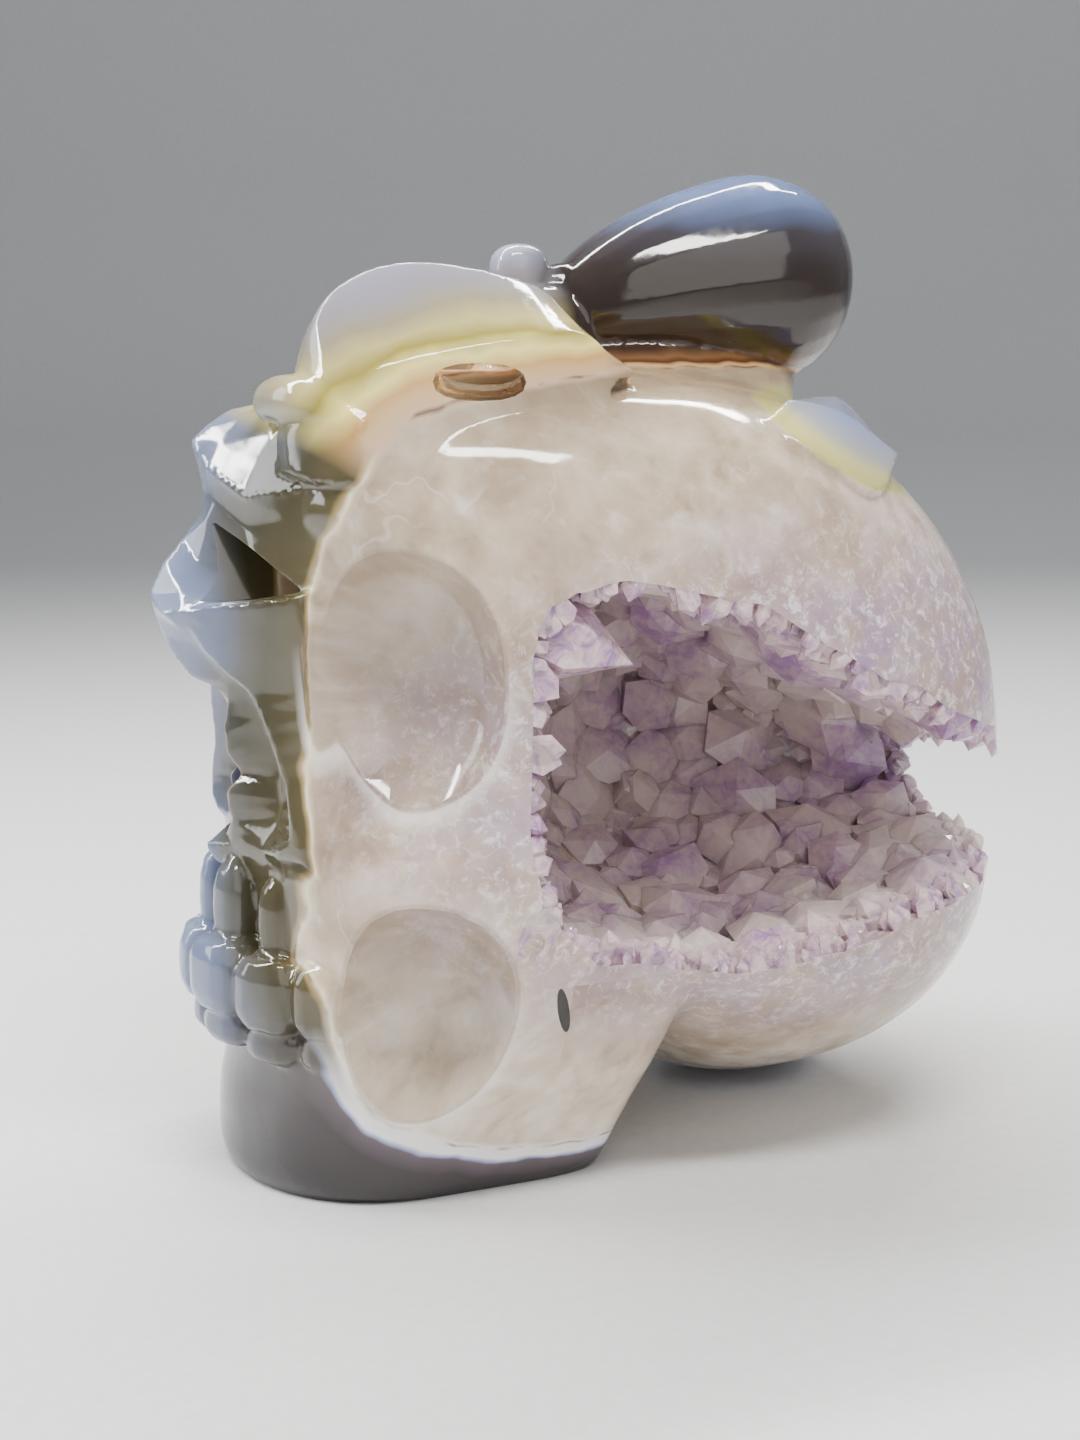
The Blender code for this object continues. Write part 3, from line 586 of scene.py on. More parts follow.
def eye_socket():
    """A slanting three-cornered socket that narrows as it goes in."""
    corners = [(5.2, 103.6), (9.5, 91.4), (25.5, 94.0)]
    rings = []
    for y, scale in [(-92, 1.0), (-62, 1.0), (-52, 0.86), (-45, 0.6), (-41, 0.2)]:
        ring = []
        for i in range(3):
            a, b = Vector(corners[i]), Vector(corners[(i + 1) % 3])
            for t in (0.04, 0.5, 0.96):
                p = a.lerp(b, t)
                ring.append((16.0 + (p.x - 16.0) * scale, y, 96.5 + (p.y - 96.5) * scale))
        rings.append(ring)
    return loft("eye_socket", rings)


def nose_opening():
    rings = []
    for y, scale in [(-80, 1.15), (-60, 1.0), (-48, 0.75), (-42, 0.35)]:
        ring = []
        for x, z in [(0, 79), (3.4, 77), (5.6, 71), (6.4, 64), (5.2, 58), (2.2, 55.2),
                     (0, 56.4), (-2.2, 55.2), (-5.2, 58), (-6.4, 64), (-5.6, 71), (-3.4, 77)]:
            ring.append((x * scale, y, 67 + (z - 67) * scale))
        rings.append(ring)
    return loft("nose_opening", rings)


def temple_scoop():
    return ball("temple_scoop", (42.2, -50.8, 81.0), (17.5, 17.6, 21.0), (0, 0, -50), 2.3, 28)


def jaw_scoop():
    return ball("jaw_scoop", (43.4, -46.6, 30.0), (16.0, 17.0, 20.5), (0, 0, -37), 2.2, 28)


def ramus_step():
    """The set-back behind the upright crease in the side of the jaw."""
    rings = []
    for y, depth in [(-21.2, 3.4), (-14.0, 2.6), (-6.0, 1.2), (2.0, -1.5)]:
        rings.append([(31.5, y, 8.0), (60.0, y, 8.0), (60.0, y, 36.0), (41.4 - depth, y, 36.0)])
    return loft("ramus_step", rings)


def leg_arch():
    """The see-through gap under the foreleg."""
    return sweep("leg_arch", [
        (46.0, -38.0, 124.0, 6.6, 2.7, 0),
        (30.0, -31.0, 124.0, 6.6, 2.7, 0),
        (8.0, -22.0, 126.5, 6.6, 2.7, 0),
    ], power=2.4, roll_axis=(0, 1, 0))


def jaw_hollow():
    """The open space between the two sides of the jaw, which has no back wall."""
    return stack("jaw_hollow", [
        (-4.0, -46.0, -24.0, 12.0, 15.0, 2.4),
        (8.0, -46.0, -24.0, 11.0, 17.0, 2.4),
        (18.0, -44.0, -24.0, 8.0, 18.0, 2.4),
        (25.0, -40.0, -24.0, 2.0, 14.0, 2.4),
        (29.0, -34.0, -24.0, -8.0, 8.0, 2.4),
    ], 6.0, sides=28)


def side_slit():
    return sweep("side_slit", [
        (46.0, -25.0, 34.0, 0.9, 3.3, 0),
        (36.0, -20.4, 30.7, 0.9, 3.3, 0),
        (27.0, -16.3, 27.8, 0.9, 3.3, 0),
    ], roll_axis=(0, 1, 0))


def floor_cut():
    form = bmesh.new()
    bmesh.ops.create_cube(form, size=1.0)
    for vert in form.verts:
        vert.co = Vector((vert.co.x * 240, vert.co.y * 260, (vert.co.z - 0.5) * 30))
    mesh = bpy.data.meshes.new("floor_cut")
    form.to_mesh(mesh)
    form.free()
    return add_object("floor_cut", mesh)


# The hollow and its crystals


def hollow(name, inset, overrun=0.0, sides=20, steps=2):
    """The geode's hollow. It opens the left side of the braincase and runs out at the back.

    overrun makes it longer behind, so that no two of its ends lie in one plane."""
    stations = [
        # y, centre x, centre z, half width, half height
        (-29.0, 37.0, 72.0, 14.0, 15.0),
        (-26.5, 33.0, 71.0, 23.0, 24.5),
        (-18.0, 26.0, 68.5, 36.0, 30.5),
        (-2.0, 20.0, 65.8, 48.0, 32.0),
        (12.0, 17.0, 63.0, 51.0, 30.5),
        (27.0, 16.0, 60.0, 49.0, 25.0),
        (42.0, 17.0, 58.0, 43.0, 19.5),
        (57.0, 19.0, 55.8, 36.0, 14.0),
        (72.0, 21.0, 54.6, 32.0, 10.5),
        (88.0, 23.0, 53.5, 31.0, 9.5),
    ]
    rings = []
    wobble = random.Random(3)
    for row in flow(stations, steps):
        y, cx, cz, width, height = row
        ring = []
        for i in range(sides):
            u, v = rounded(2 * math.pi * i / sides, 2.5)
            lump = 1.0 + 0.07 * (wobble.random() - 0.5)
            ring.append((
                cx + u * (width * lump - inset),
                y + inset * max(0.0, 1.0 - (y - stations[0][0]) / HOLLOW_FRONT_DEPTH),
                cz + v * (height * lump - inset),
            ))
        rings.append(ring)
    rings[-1] = [(x, y + overrun, z) for x, y, z in rings[-1]]
    return loft(name, rings)


def crystal(centre, heading, length, radius, spin, dice):
    """One six-sided quartz point, as a bmesh. Its six sides and its six end faces differ in size."""
    ahead = Vector(heading).normalized()
    side = ahead.orthogonal().normalized()
    up = ahead.cross(side)
    widths = [radius * dice.uniform(0.8, 1.15) for _ in range(6)]
    lean = side * dice.uniform(-0.25, 0.25) * radius + up * dice.uniform(-0.25, 0.25) * radius
    form = bmesh.new()
    rings = []
    for reach, scale in ((-0.35, 0.9), (CRYSTAL_SHOULDER, 1.0)):
        ring = []
        for i in range(6):
            angle = spin + math.pi * i / 3
            offset = side * math.cos(angle) + up * math.sin(angle)
            slant = dice.uniform(-0.07, 0.07) if reach > 0 else 0.0
            place = Vector(centre) + ahead * (length * (reach + slant)) + offset * widths[i] * scale
            ring.append(form.verts.new(place))
        rings.append(ring)
    tip = form.verts.new(Vector(centre) + ahead * length + lean)
    form.faces.new(rings[0][::-1])
    for i in range(6):
        j = (i + 1) % 6
        form.faces.new((rings[0][i], rings[0][j], rings[1][j], rings[1][i]))
        form.faces.new((rings[1][i], rings[1][j], tip))
    bmesh.ops.recalc_face_normals(form, faces=form.faces)
    return form


def trimmed(form, skin):
    """Cuts a crystal off flush with the polished skin. Returns False where nothing is left of it."""
    spots = [vert.co for vert in form.verts]
    outside = []
    for spot in spots:
        place, normal, _, _ = skin.find_nearest(spot)
        if (spot - place).dot(normal) > 0:
            outside.append((place, normal))
    if not outside:
        return True
    middle = sum(spots, Vector()) / len(spots)
    place, normal, _, _ = skin.find_nearest(middle)
    if (middle - place).dot(normal) > 0:
        return False
    for place, normal in ([(place, normal)] + outside)[:4]:
        geom = list(form.verts) + list(form.edges) + list(form.faces)
        cut = bmesh.ops.bisect_plane(form, geom=geom, plane_co=place - normal * SKIN_INSET,
                                     plane_no=normal, clear_outer=True)
        edges = [item for item in cut["geom_cut"] if isinstance(item, bmesh.types.BMEdge)]
        if edges:
            bmesh.ops.contextual_create(form, geom=edges)
    return len(form.faces) > 3


def wall_places(skin, count, seed, edge, nearest_in, deepest_in):
    """Places on the hollow's wall, most of them well apart, with the way inward and their own dice."""
    skin.calc_loop_triangles()
    triangles = list(skin.loop_triangles)
    weights = [t.area for t in triangles]
    places = []
    attempt = 0
    while len(places) < count:
        attempt += 1
        dice = random.Random(seed * SEED_STEP + attempt)
        best = None
        for _ in range(PLACE_TRIES):
            chosen = dice.choices(triangles, weights)[0]
            a, b, c = [skin.vertices[i].co for i in chosen.vertices]
            s, t = sorted((dice.random(), dice.random()))
            place = a * s + b * (t - s) + c * (1 - t)
            nearest, normal, _, _ = edge.find_nearest(place)
            if not nearest_in < (nearest - place).dot(normal) < deepest_in:
                continue
            room = min([(place - p).length_squared for p, _, _ in places[-NEIGHBOURS_SEEN:]] or [99.0])
            if best is None or room > best[0]:
                best = (room, place, -chosen.normal)
        if best:
            places.append((*best[1:], dice))
    return places


def druse(outline):
    """The crystals of the hollow, as one mesh. Each is cut off flush with the polished skin."""
    skin = BVHTree.FromPolygons([v.co for v in outline.data.vertices],
                                [p.vertices for p in outline.data.polygons])
    wall = hollow("wall", 0.0)
    shapes = [(*shape, random.Random(CRYSTAL_SEED + i)) for i, shape in enumerate(LARGE_CRYSTALS)]
    for number, (depths, count, shortest, longest, slim, broad) in enumerate(CRYSTAL_SETS):
        for place, inward, dice in wall_places(wall.data, count, CRYSTAL_SEED + number, skin, *depths):
            toward = (Vector(HOLLOW_HEART) - place).normalized()
            sway = Vector([dice.uniform(-0.4, 0.4) for _ in range(3)])
            length = dice.uniform(shortest, longest)
            radius = length * dice.uniform(slim, broad)
            shapes.append((place, inward * 0.8 + toward * 0.3 + sway, length, radius, dice))
    joined = bmesh.new()
    for place, heading, length, radius, dice in shapes:
        single = crystal(place, heading, length, radius, dice.uniform(0, 1), dice)
        if trimmed(single, skin):
            mesh = bpy.data.meshes.new("single")
            single.to_mesh(mesh)
            joined.from_mesh(mesh)
            bpy.data.meshes.remove(mesh)
        single.free()
    bpy.data.objects.remove(wall, do_unlink=True)
    mesh = bpy.data.meshes.new("druse")
    joined.to_mesh(mesh)
    joined.free()
    return add_object("druse", mesh)


# Materials


class Graph:
    """Builds a material's nodes with short calls."""

    def __init__(self, name):
        self.surface = bpy.data.materials.new(name)
        self.surface.use_nodes = True
        self.nodes = self.surface.node_tree.nodes
        self.links = self.surface.node_tree.links
        self.shader = self.nodes["Principled BSDF"]
        self.place = self.nodes.new("ShaderNodeTexCoord").outputs["Object"]

    def put(self, socket, value):
        if isinstance(value, bpy.types.NodeSocket):
            self.links.new(value, socket)
        elif value is not None:
            socket.default_value = value

    def math(self, operation, a, b=None, c=None, clamp=False):
        node = self.nodes.new("ShaderNodeMath")
        node.operation = operation
        node.use_clamp = clamp
        for socket, value in zip(node.inputs, (a, b, c)):
            self.put(socket, value)
        return node.outputs[0]

    def vector(self, operation, a, b=None):
        node = self.nodes.new("ShaderNodeVectorMath")
        node.operation = operation
        self.put(node.inputs[0], a)
        self.put(node.inputs[1], b)
        return node.outputs["Value" if operation in ("LENGTH", "DOT_PRODUCT") else "Vector"]

    def split(self, vector):
        node = self.nodes.new("ShaderNodeSeparateXYZ")
        self.put(node.inputs[0], vector)
        return node.outputs

    def noise(self, vector, scale, detail=3.0, rough=0.55, warp=0.0):
        node = self.nodes.new("ShaderNodeTexNoise")
        self.put(node.inputs["Vector"], vector)
        node.inputs["Scale"].default_value = scale
        node.inputs["Detail"].default_value = detail
        node.inputs["Roughness"].default_value = rough
        node.inputs["Distortion"].default_value = warp
        return node.outputs["Fac"]

    def ramp(self, value, stops, smooth="LINEAR"):
        node = self.nodes.new("ShaderNodeValToRGB")
        node.color_ramp.interpolation = smooth
        marks = node.color_ramp.elements
        while len(marks) < len(stops):
            marks.new(0.5)
        for mark, (place, colour) in zip(marks, stops):
            mark.position = place
        for mark, (place, colour) in zip(marks, stops):
            mark.color = colour if isinstance(colour, tuple) else (colour, colour, colour, 1.0)
        self.put(node.inputs[0], value)
        return node.outputs["Color"]

    def mix(self, amount, a, b, kind="MIX"):
        node = self.nodes.new("ShaderNodeMix")
        node.data_type = "RGBA"
        node.blend_type = kind
        self.put(node.inputs[0], amount)
        self.put(node.inputs[6], a)
        self.put(node.inputs[7], b)
        return node.outputs[2]

    def span(self, value, low, high, to_low=0.0, to_high=1.0):
        """Maps low..high onto to_low..to_high, without going past either."""
        node = self.nodes.new("ShaderNodeMapRange")
        self.put(node.inputs["Value"], value)
        node.inputs["From Min"].default_value = low
        node.inputs["From Max"].default_value = high
        node.inputs["To Min"].default_value = to_low
        node.inputs["To Max"].default_value = to_high
        return node.outputs[0]

    def bump(self, height, strength, distance):
        node = self.nodes.new("ShaderNodeBump")
        node.inputs["Strength"].default_value = strength
        node.inputs["Distance"].default_value = distance
        self.put(node.inputs["Height"], height)
        return node.outputs[0]

    def set(self, **values):
        for name, value in values.items():
            self.put(self.shader.inputs[name.replace("_", " ")], value)


def tone(red, green, blue):
    """A colour given in everyday 0 to 255 steps."""
    steps = []
    for step in (red, green, blue):
        c = step / 255
        steps.append(c / 12.92 if c <= 0.04045 else ((c + 0.055) / 1.055) ** 2.4)
    return (*steps, 1.0)


def shell_distance(g):
    """How far outside the quartz a place lies, in millimetres, and its place about the geode's heart."""
    place = g.vector("MULTIPLY", g.place, (1000.0, 1000.0, 1000.0))
    about = g.vector("SUBTRACT", place, QUARTZ_CENTRE)
    ratio = g.vector("ABSOLUTE", g.vector("DIVIDE", about, QUARTZ_REACH))
    powers = [g.math("POWER", part, QUARTZ_ROUNDNESS) for part in g.split(ratio)]
    total = g.math("ADD", g.math("ADD", powers[0], powers[1]), powers[2])
    reach = g.math("POWER", total, 1.0 / QUARTZ_ROUNDNESS)
    distance = g.math("MULTIPLY", g.math("SUBTRACT", reach, 1.0), BAND_SCALE)
    waves = g.math("SUBTRACT", g.noise(place, 0.07, 2.0, 0.5), 0.5)
    ripples = g.math("SUBTRACT", g.noise(place, 0.25, 1.0, 0.5), 0.5)
    distance = g.math("ADD", distance, g.math("MULTIPLY", waves, 4.0))
    x, y, _ = g.split(place)
    far_face = g.math("MULTIPLY", g.span(x, *FAR_FACE_X), g.span(y, *FAR_FACE_Y, 0.0, FAR_FACE_DEPTH))
    distance = g.math("ADD", distance, far_face)
    return g.math("ADD", distance, g.math("MULTIPLY", ripples, 0.6)), about, place


def hollow_nearness(g, place):
    """1 at the geode's hollow, falling to 0 a couple of centimetres away from it."""
    away = g.vector("DIVIDE", g.vector("SUBTRACT", place, HOLLOW_MIDDLE), HOLLOW_REACH)
    return g.span(g.vector("LENGTH", away), 0.8, 1.75, 1.0, 0.0)


def quartz_colour(g, about, place):
    """Milky quartz: clouds, streaks that run outward, and lilac and frost near the hollow."""
    far = g.vector("LENGTH", about)
    heading = g.vector("NORMALIZE", about)
    stream = g.vector("MULTIPLY", heading, (30.0, 30.0, 30.0))
    drift = g.nodes.new("ShaderNodeCombineXYZ")
    for socket in drift.inputs:
        g.put(socket, g.math("MULTIPLY", far, 0.03))
    needles = g.noise(g.vector("ADD", stream, drift.outputs[0]), 0.45, 5.0, 0.6, 0.3)
    clouds = g.noise(place, 0.035, 3.0, 0.5, 0.3)
    wisps = g.noise(place, 0.09, 5.0, 0.55, 0.7)
    milk = g.math("ADD", g.math("MULTIPLY", clouds, 0.5), g.math("MULTIPLY", wisps, 0.3))
    milk = g.math("ADD", milk, g.math("MULTIPLY", needles, 0.2))
    colour = g.ramp(milk, [
        (0.38, tone(178, 156, 132)),
        (0.46, tone(200, 180, 156)),
        (0.54, tone(224, 207, 186)),
        (0.62, tone(244, 233, 216)),
        (0.70, tone(255, 250, 242)),
    ])
    colour = g.mix(g.span(needles, 0.56, 0.70, 0.0, 0.4), colour, tone(240, 234, 226))
    colour = g.mix(g.span(needles, 0.44, 0.30, 0.0, 0.22), colour, tone(132, 114, 102))
    sheet = g.math("ABSOLUTE", g.math("SUBTRACT", g.noise(place, 0.05, 3.0, 0.55, 0.4), 0.5))
    torn = g.span(g.noise(place, 0.08, 2.0), 0.48, 0.6)
    veil = g.math("MULTIPLY", g.span(sheet, 0.0, 0.009, 0.35, 0.0), torn)
    colour = g.mix(veil, colour, tone(244, 239, 232))
    # Painted shade: the quartz darkens towards the top of the crown, standing in for the dimmer light
    # through the thin translucent neck there.
    neck_shade = g.span(g.split(place)[2], 109.0, 125.0, 0.0, 0.75)
    colour = g.mix(neck_shade, colour, tone(132, 112, 82))
    near = hollow_nearness(g, place)
    lilac = g.math("MULTIPLY", near, g.span(wisps, 0.4, 0.6, 0.3, 0.95))
    colour = g.mix(lilac, colour, tone(160, 134, 172))
    frost = g.noise(place, 0.5, 6.0, 0.75, 0.6)
    frost = g.math("MULTIPLY", g.span(near, 0.15, 0.6), g.span(frost, 0.51, 0.64, 0.0, 0.7))
    return g.mix(frost, colour, tone(250, 245, 250))


def scoop_reach(g, place, centre, radii, turn):
    """1 on the wall of one of the ground scoops, and more outside it, on both sides of the head."""
    x, y, z = g.split(place)
    spin = math.radians(turn)
    dx = g.math("SUBTRACT", g.math("ABSOLUTE", x), centre[0] + DRAWING_SHIFT[0])
    dy = g.math("SUBTRACT", y, centre[1] + DRAWING_SHIFT[1])
    dz = g.math("SUBTRACT", z, centre[2])
    u = g.math("ADD", g.math("MULTIPLY", dx, math.cos(spin)), g.math("MULTIPLY", dy, math.sin(spin)))
    v = g.math("SUBTRACT", g.math("MULTIPLY", dy, math.cos(spin)), g.math("MULTIPLY", dx, math.sin(spin)))
    total = None
    for part, radius in zip((u, v, dz), radii):
        power = g.math("POWER", g.math("ABSOLUTE", g.math("DIVIDE", part, radius)), SCOOP_POWER)
        total = power if total is None else g.math("ADD", total, power)
    return g.math("POWER", total, 1.0 / SCOOP_POWER)


def hind_leg_colour(g, place, colour):
    """The folded hind leg is yellow-green along its lower edge and bluish white above."""
    x, y, z = g.split(place)
    rise = g.math("ADD", g.math("MULTIPLY", g.math("ADD", g.math("ABSOLUTE", x), y), 0.42),
                  g.math("MULTIPLY", z, 0.8))
    there = g.math("MULTIPLY", g.span(rise, 115.7, 116.3), g.span(z, 124.5, 122.5))
    there = g.math("MULTIPLY", there, g.span(y, 11.0, 14.0))
    bands = g.ramp(g.span(rise, 115.0, 121.0), [
        (0.0, tone(236, 230, 196)),
        (0.20, tone(190, 184, 108)),
        (0.42, tone(196, 190, 132)),
        (0.62, tone(164, 166, 166)),
        (1.0, tone(140, 152, 190)),
    ])
    return g.mix(there, colour, bands)


def agate():
    """The carved stone: milky quartz inside, grey and blue chalcedony outside, fine bands between."""
    g = Graph("agate")
    distance, about, place = shell_distance(g)
    quartz = quartz_colour(g, about, place)
    height = g.split(place)[2]
    low = g.span(height, 15.0, 30.0, 1.0, 0.0)
    rise = g.math("ADD", height, g.math("MULTIPLY", g.math("ADD", g.split(place)[1], 57.0), 0.8))
    high = g.span(rise, 115.0, 122.0)
    layer = g.span(distance, 0.0, BAND_DEPTH)
    legs = g.ramp(layer, [
        (0.0, tone(206, 180, 154)),
        (0.07, tone(212, 176, 128)),
        (0.11, tone(206, 164, 100)),
        (0.17, tone(244, 230, 142)),
        (0.24, tone(150, 138, 62)),
        (0.30, tone(186, 174, 116)),
        (0.38, tone(150, 142, 118)),
        (0.48, tone(146, 142, 150)),
        (0.70, tone(158, 158, 182)),
        (1.0, tone(136, 150, 200)),
    ])
    bulb_bands = g.ramp(layer, [
        (0.0, tone(150, 130, 110)),
        (0.03, tone(196, 160, 112)),
        (0.05, tone(78, 42, 22)),
        (0.08, tone(112, 80, 50)),
        (0.13, tone(58, 40, 30)),
        (0.30, tone(42, 32, 26)),
        (0.60, tone(44, 36, 34)),
        (0.78, tone(56, 52, 58)),
        (1.0, tone(92, 108, 148)),
    ])
    middle = g.ramp(layer, [
        (0.0, tone(222, 206, 176)),
        (0.012, tone(246, 236, 208)),
        (0.024, tone(172, 150, 104)),
        (0.04, tone(88, 80, 54)),
        (0.14, tone(70, 66, 48)),
        (0.22, tone(86, 86, 82)),
        (0.32, tone(104, 114, 142)),
        (0.5, tone(126, 138, 164)),
        (1.0, tone(118, 134, 182)),
    ])
    # Near the floor the bands run dark to near black: partly the stone's own dark chalcedony, partly
    # painted shade on the chin and the jaw's base.
    bottom = g.ramp(layer, [
        (0.0, tone(252, 244, 238)),
        (0.07, tone(255, 254, 255)),
        (0.085, tone(176, 182, 226)),
        (0.10, tone(92, 78, 88)),
        (0.18, tone(52, 42, 44)),
        (0.4, tone(34, 28, 31)),
        (1.0, tone(40, 38, 48)),
    ])
    upper = g.mix(g.span(g.split(place)[1], -12.0, -5.0), legs, bulb_bands)
    banded = g.mix(high, g.mix(low, middle, bottom), upper)
    outside = g.span(distance, -0.4, 0.4)
    colour = g.mix(outside, quartz, banded)
    colour = hind_leg_colour(g, place, colour)
    hair = g.math("ABSOLUTE", g.math("SUBTRACT", distance, 0.5))
    torn = g.span(g.noise(place, 0.09, 3.0, 0.6), 0.5, 0.62)
    crack = g.math("MULTIPLY", g.span(hair, 0.0, 0.35, 1.0, 0.0), torn)
    colour = g.mix(g.math("MULTIPLY", crack, 0.85), colour, tone(84, 52, 32))
    # Painted shade darkens the scoops' walls, partly also the thinner stone's darker tone there. A
    # painted highlight runs as a pale rim along each scoop's lower edge.
    for centre, radii, turn in SCOOPS:
        reach = scoop_reach(g, place, centre, radii, turn)
        colour = g.mix(g.span(reach, 1.005, 1.03, 0.34, 0.0), colour, tone(104, 88, 72))
        scoop_rim_highlight = g.math("MULTIPLY", g.span(reach, 1.02, 1.03), g.span(reach, 1.05, 1.12, 0.55, 0.0))
        scoop_rim_highlight = g.math("MULTIPLY", scoop_rim_highlight, g.span(height, centre[2] + 6.0, centre[2] - 8.0))
        colour = g.mix(scoop_rim_highlight, colour, tone(246, 243, 240))
    specks = g.span(g.noise(place, 0.55, 6.0, 0.8), 0.735, 0.76)
    specks = g.math("MULTIPLY", specks, hollow_nearness(g, place))
    colour = g.mix(g.math("MULTIPLY", specks, 0.8), colour, tone(52, 38, 52))
    g.set(Base_Color=colour, Roughness=g.span(g.noise(place, 0.8, 3.0), 0.3, 0.7, 0.05, 0.13))
    g.shader.inputs["Subsurface Weight"].default_value = 0.5
    g.shader.inputs["Subsurface Radius"].default_value = (1.0, 0.8, 0.62)
    g.shader.inputs["Subsurface Scale"].default_value = 0.0022
    g.shader.inputs["IOR"].default_value = 1.54
    g.shader.inputs["Coat Weight"].default_value = 0.15
    g.shader.inputs["Coat Roughness"].default_value = 0.03
    hand_polish = g.noise(place, 0.05, 1.0, 0.4)
    g.set(Normal=g.bump(hand_polish, 0.6, 0.0009))
    return g.surface


def amethyst():
    """Pale lilac crystal, milky white in places, a little see-through, and stronger purple in patches."""
    g = Graph("amethyst")
    place = g.vector("MULTIPLY", g.place, (1000.0, 1000.0, 1000.0))
    patches = g.noise(place, 0.05, 2.0, 0.5)
    veins = g.noise(place, 0.35, 4.0, 0.65, 0.8)
    blend = g.math("ADD", g.math("MULTIPLY", patches, 0.6), g.math("MULTIPLY", veins, 0.4))
    colour = g.ramp(blend, [
        (0.36, tone(250, 238, 226)),
        (0.46, tone(240, 224, 218)),
        (0.54, tone(222, 198, 212)),
        (0.64, tone(186, 150, 198)),
    ])
    # Darker grey-mauve towards the far wall of the hollow: partly the crystals' own duller colour there,
    # partly painted shade deep in the hollow.
    deep_tone_and_shade = g.span(g.split(place)[0], 20.0, -20.0, 0.0, 0.3)
    colour = g.mix(deep_tone_and_shade, colour, tone(140, 116, 122))
    edge = g.span(g.split(place)[0], 26.0, 44.0)
    rim = g.ramp(veins, [
        (0.32, tone(236, 212, 206)),
        (0.50, tone(200, 168, 182)),
        (0.66, tone(146, 106, 164)),
    ])
    colour = g.mix(g.math("MULTIPLY", edge, 0.8), colour, rim)
    g.set(Base_Color=colour, Roughness=g.span(veins, 0.3, 0.7, 0.03, 0.16))
    g.shader.inputs["Transmission Weight"].default_value = 0.06
    g.shader.inputs["IOR"].default_value = 1.54
    g.shader.inputs["Subsurface Weight"].default_value = 0.4
    g.shader.inputs["Subsurface Radius"].default_value = (1.0, 0.85, 1.0)
    g.shader.inputs["Subsurface Scale"].default_value = 0.002
    g.set(Normal=g.bump(g.noise(place, 1.6, 2.0), 0.12, 0.0002))
    return g.surface


def tabletop():
    g = Graph("tabletop")
    place = g.vector("MULTIPLY", g.place, (1000.0, 1000.0, 1000.0))
    grain = g.noise(place, 0.4, 4.0, 0.6)
    g.set(Base_Color=g.ramp(grain, [(0.3, tone(214, 214, 214)), (0.7, tone(222, 222, 222))]),
          Roughness=0.55)
    return g.surface


# Assembly


def into_frame(thing, name, surface, node):
    """Takes a finished form into the frame, and says what it stands for and is made of."""
    thing.name = name
    thing.data.name = name
    thing.data.transform(Matrix.Scale(MILLIMETRE, 4) @ Matrix.Translation(DRAWING_SHIFT))
    low, high = CAD_BOX
    for vert in thing.data.vertices:
        vert.co = [min(max(c, a), b) for c, a, b in zip(vert.co, low, high)]
    thing.data.materials.clear()
    thing.data.materials.append(surface)
    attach(thing, "root")
    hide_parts(node)


def build_stone():
    swells = both_sides([ball("temple_swell", (23.0, -44.0, 106.0), (14.0, 12.5, 10.5))])
    soft = melt("soft", [braincase(), jaw(), bulb_seat()] + swells, BLEND_VOXEL, 4)
    crisp = both_sides([hind_leg(), leg_root()] + teeth())
    crisp += [face(), near_fore_leg(), curled_foot(), bulb()] + head_knobs()
    crisp.append(moved_across(near_fore_leg(), FAR_LEG_SHIFT))
    crisp.append(moved_across(curled_foot(), FAR_FOOT_SHIFT))
    stone = melt("skull", [soft] + crisp, STONE_VOXEL, 2)
    thin_out(stone, ROUGH_TRIANGLES)
    cuts = both_sides([eye_socket(), temple_scoop(), jaw_scoop(), leg_arch(), ramus_step()])
    cuts += [nose_opening(), jaw_hollow(), side_slit(), floor_cut()]
    return combine(stone, cuts, "DIFFERENCE")


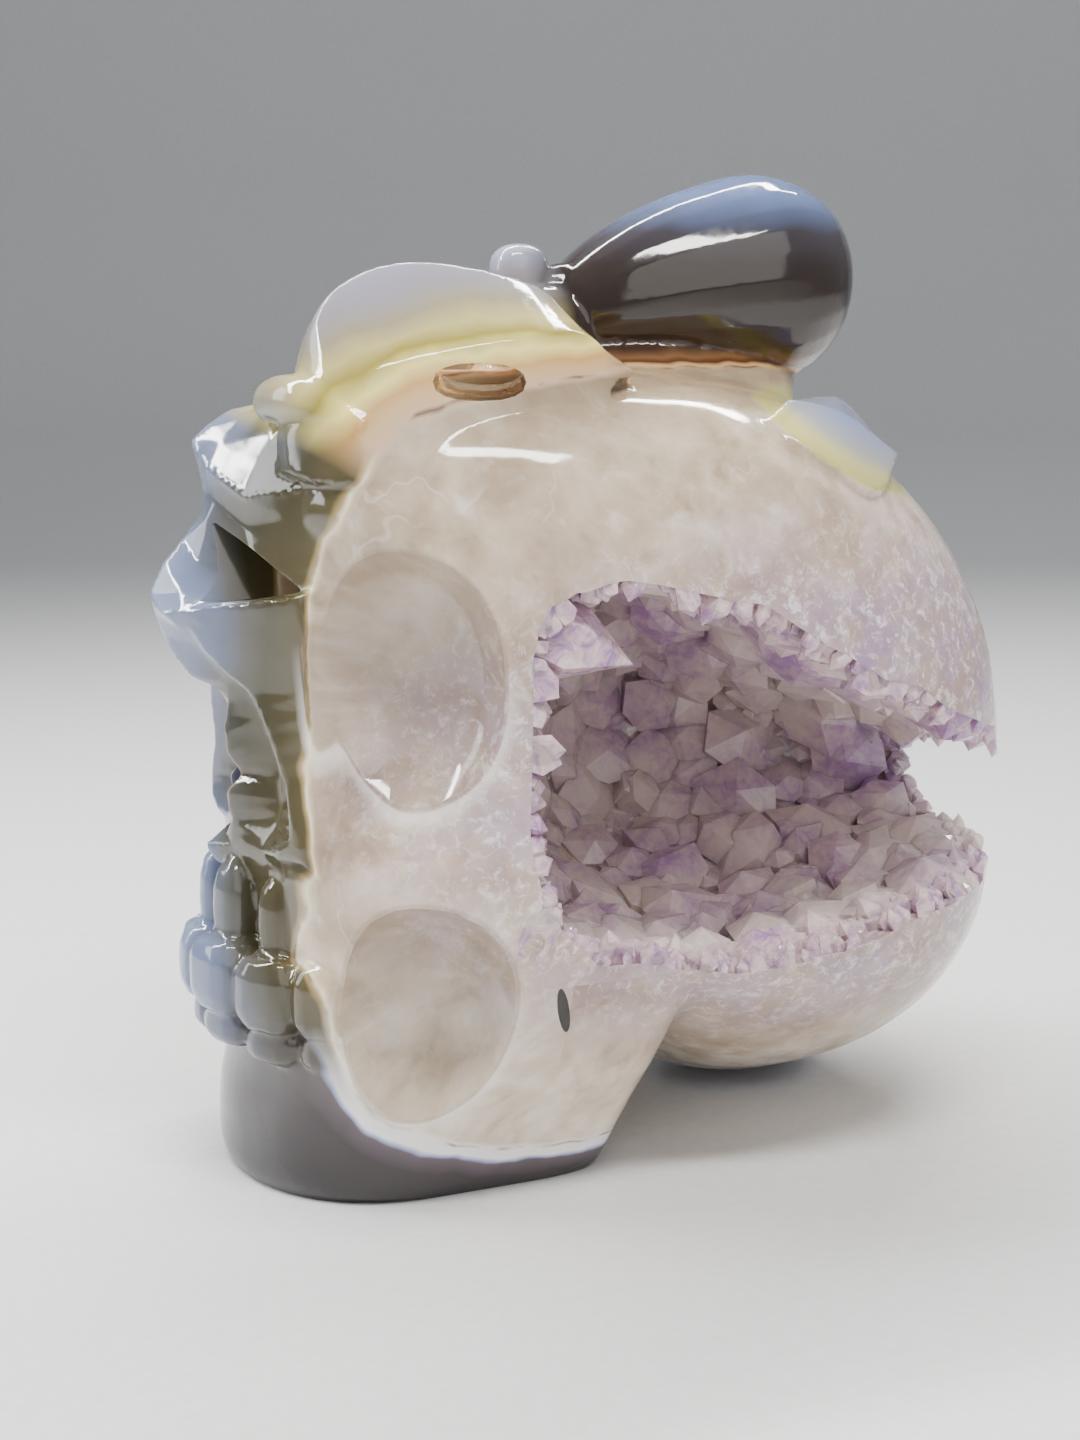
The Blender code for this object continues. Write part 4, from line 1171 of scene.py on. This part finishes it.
def studio():
    """A pale floor and wall, soft light, and the camera where the photograph was taken from."""
    floor = bmesh.new()
    rows = []
    for y, z in [(-3.0, 0.0), (1.2, 0.0), (1.7, 0.08), (2.0, 0.35), (2.1, 0.9), (2.1, 2.6)]:
        rows.append([floor.verts.new((x, y, z)) for x in (-3.5, 3.5)])
    for lower, upper in zip(rows, rows[1:]):
        floor.faces.new((lower[0], lower[1], upper[1], upper[0]))
    mesh = bpy.data.meshes.new("floor")
    floor.to_mesh(mesh)
    floor.free()
    ground = add_object("floor", mesh)
    heading = Vector((math.sin(math.radians(CAMERA_TURN)), -math.cos(math.radians(CAMERA_TURN)), 0))
    ground.rotation_euler.z = math.atan2(-heading.y, -heading.x) - math.pi / 2
    mesh.shade_smooth()
    mesh.materials.append(tabletop())
    for name, place, width, length, along, power, colour in LIGHTS:
        light = bpy.data.lights.new(name, "AREA")
        light.shape = "RECTANGLE"
        light.size, light.size_y = width, length
        light.energy = power
        light.color = colour
        lamp = bpy.data.objects.new(name, light)
        bpy.context.scene.collection.objects.link(lamp)
        back = (Vector(place) - Vector(LIGHTS_AIM)).normalized()
        side = Vector(along).cross(back).normalized()
        spin = Matrix((side, back.cross(side), back)).transposed().to_4x4()
        lamp.matrix_world = Matrix.Translation(place) @ spin
    world = bpy.data.worlds.new("room")
    bpy.context.scene.world = world
    world.use_nodes = True
    world.node_tree.nodes["Background"].inputs[0].default_value = ROOM_COLOUR
    world.node_tree.nodes["Background"].inputs[1].default_value = ROOM_STRENGTH
    lens = bpy.data.cameras.new("camera")
    lens.lens = CAMERA_LENS
    lens.sensor_width = CAMERA_SENSOR
    lens.clip_start = 0.01
    camera = bpy.data.objects.new("camera", lens)
    bpy.context.scene.collection.objects.link(camera)
    turn, dip = math.radians(CAMERA_TURN), math.radians(CAMERA_DIP)
    ahead = Vector((-math.sin(turn) * math.cos(dip), math.cos(turn) * math.cos(dip), -math.sin(dip)))
    right = Vector((math.cos(turn), math.sin(turn), 0.0))
    spin = Matrix((right, right.cross(ahead), -ahead)).transposed().to_4x4()
    spot = (Vector(CAMERA_PLACE) + Vector(DRAWING_SHIFT)) * MILLIMETRE
    camera.matrix_world = Matrix.Translation(spot) @ spin
    bpy.context.scene.camera = camera


def main():
    stone = build_stone()
    stone.data.shade_smooth()
    crystals = druse(stone)
    combine(stone, [hollow("hollow", 0.0)], "DIFFERENCE")
    thin_out(stone, STONE_TRIANGLES)
    stone.data.shade_smooth()
    stone.data.set_sharp_from_angle(angle=math.radians(SHARP_ANGLE))
    into_frame(stone, "agate_stone", agate(), "skull_carving")
    crystals.data.shade_flat()
    into_frame(crystals, "crystal_druse", amethyst(), "amethyst_crust")
    studio()


main()
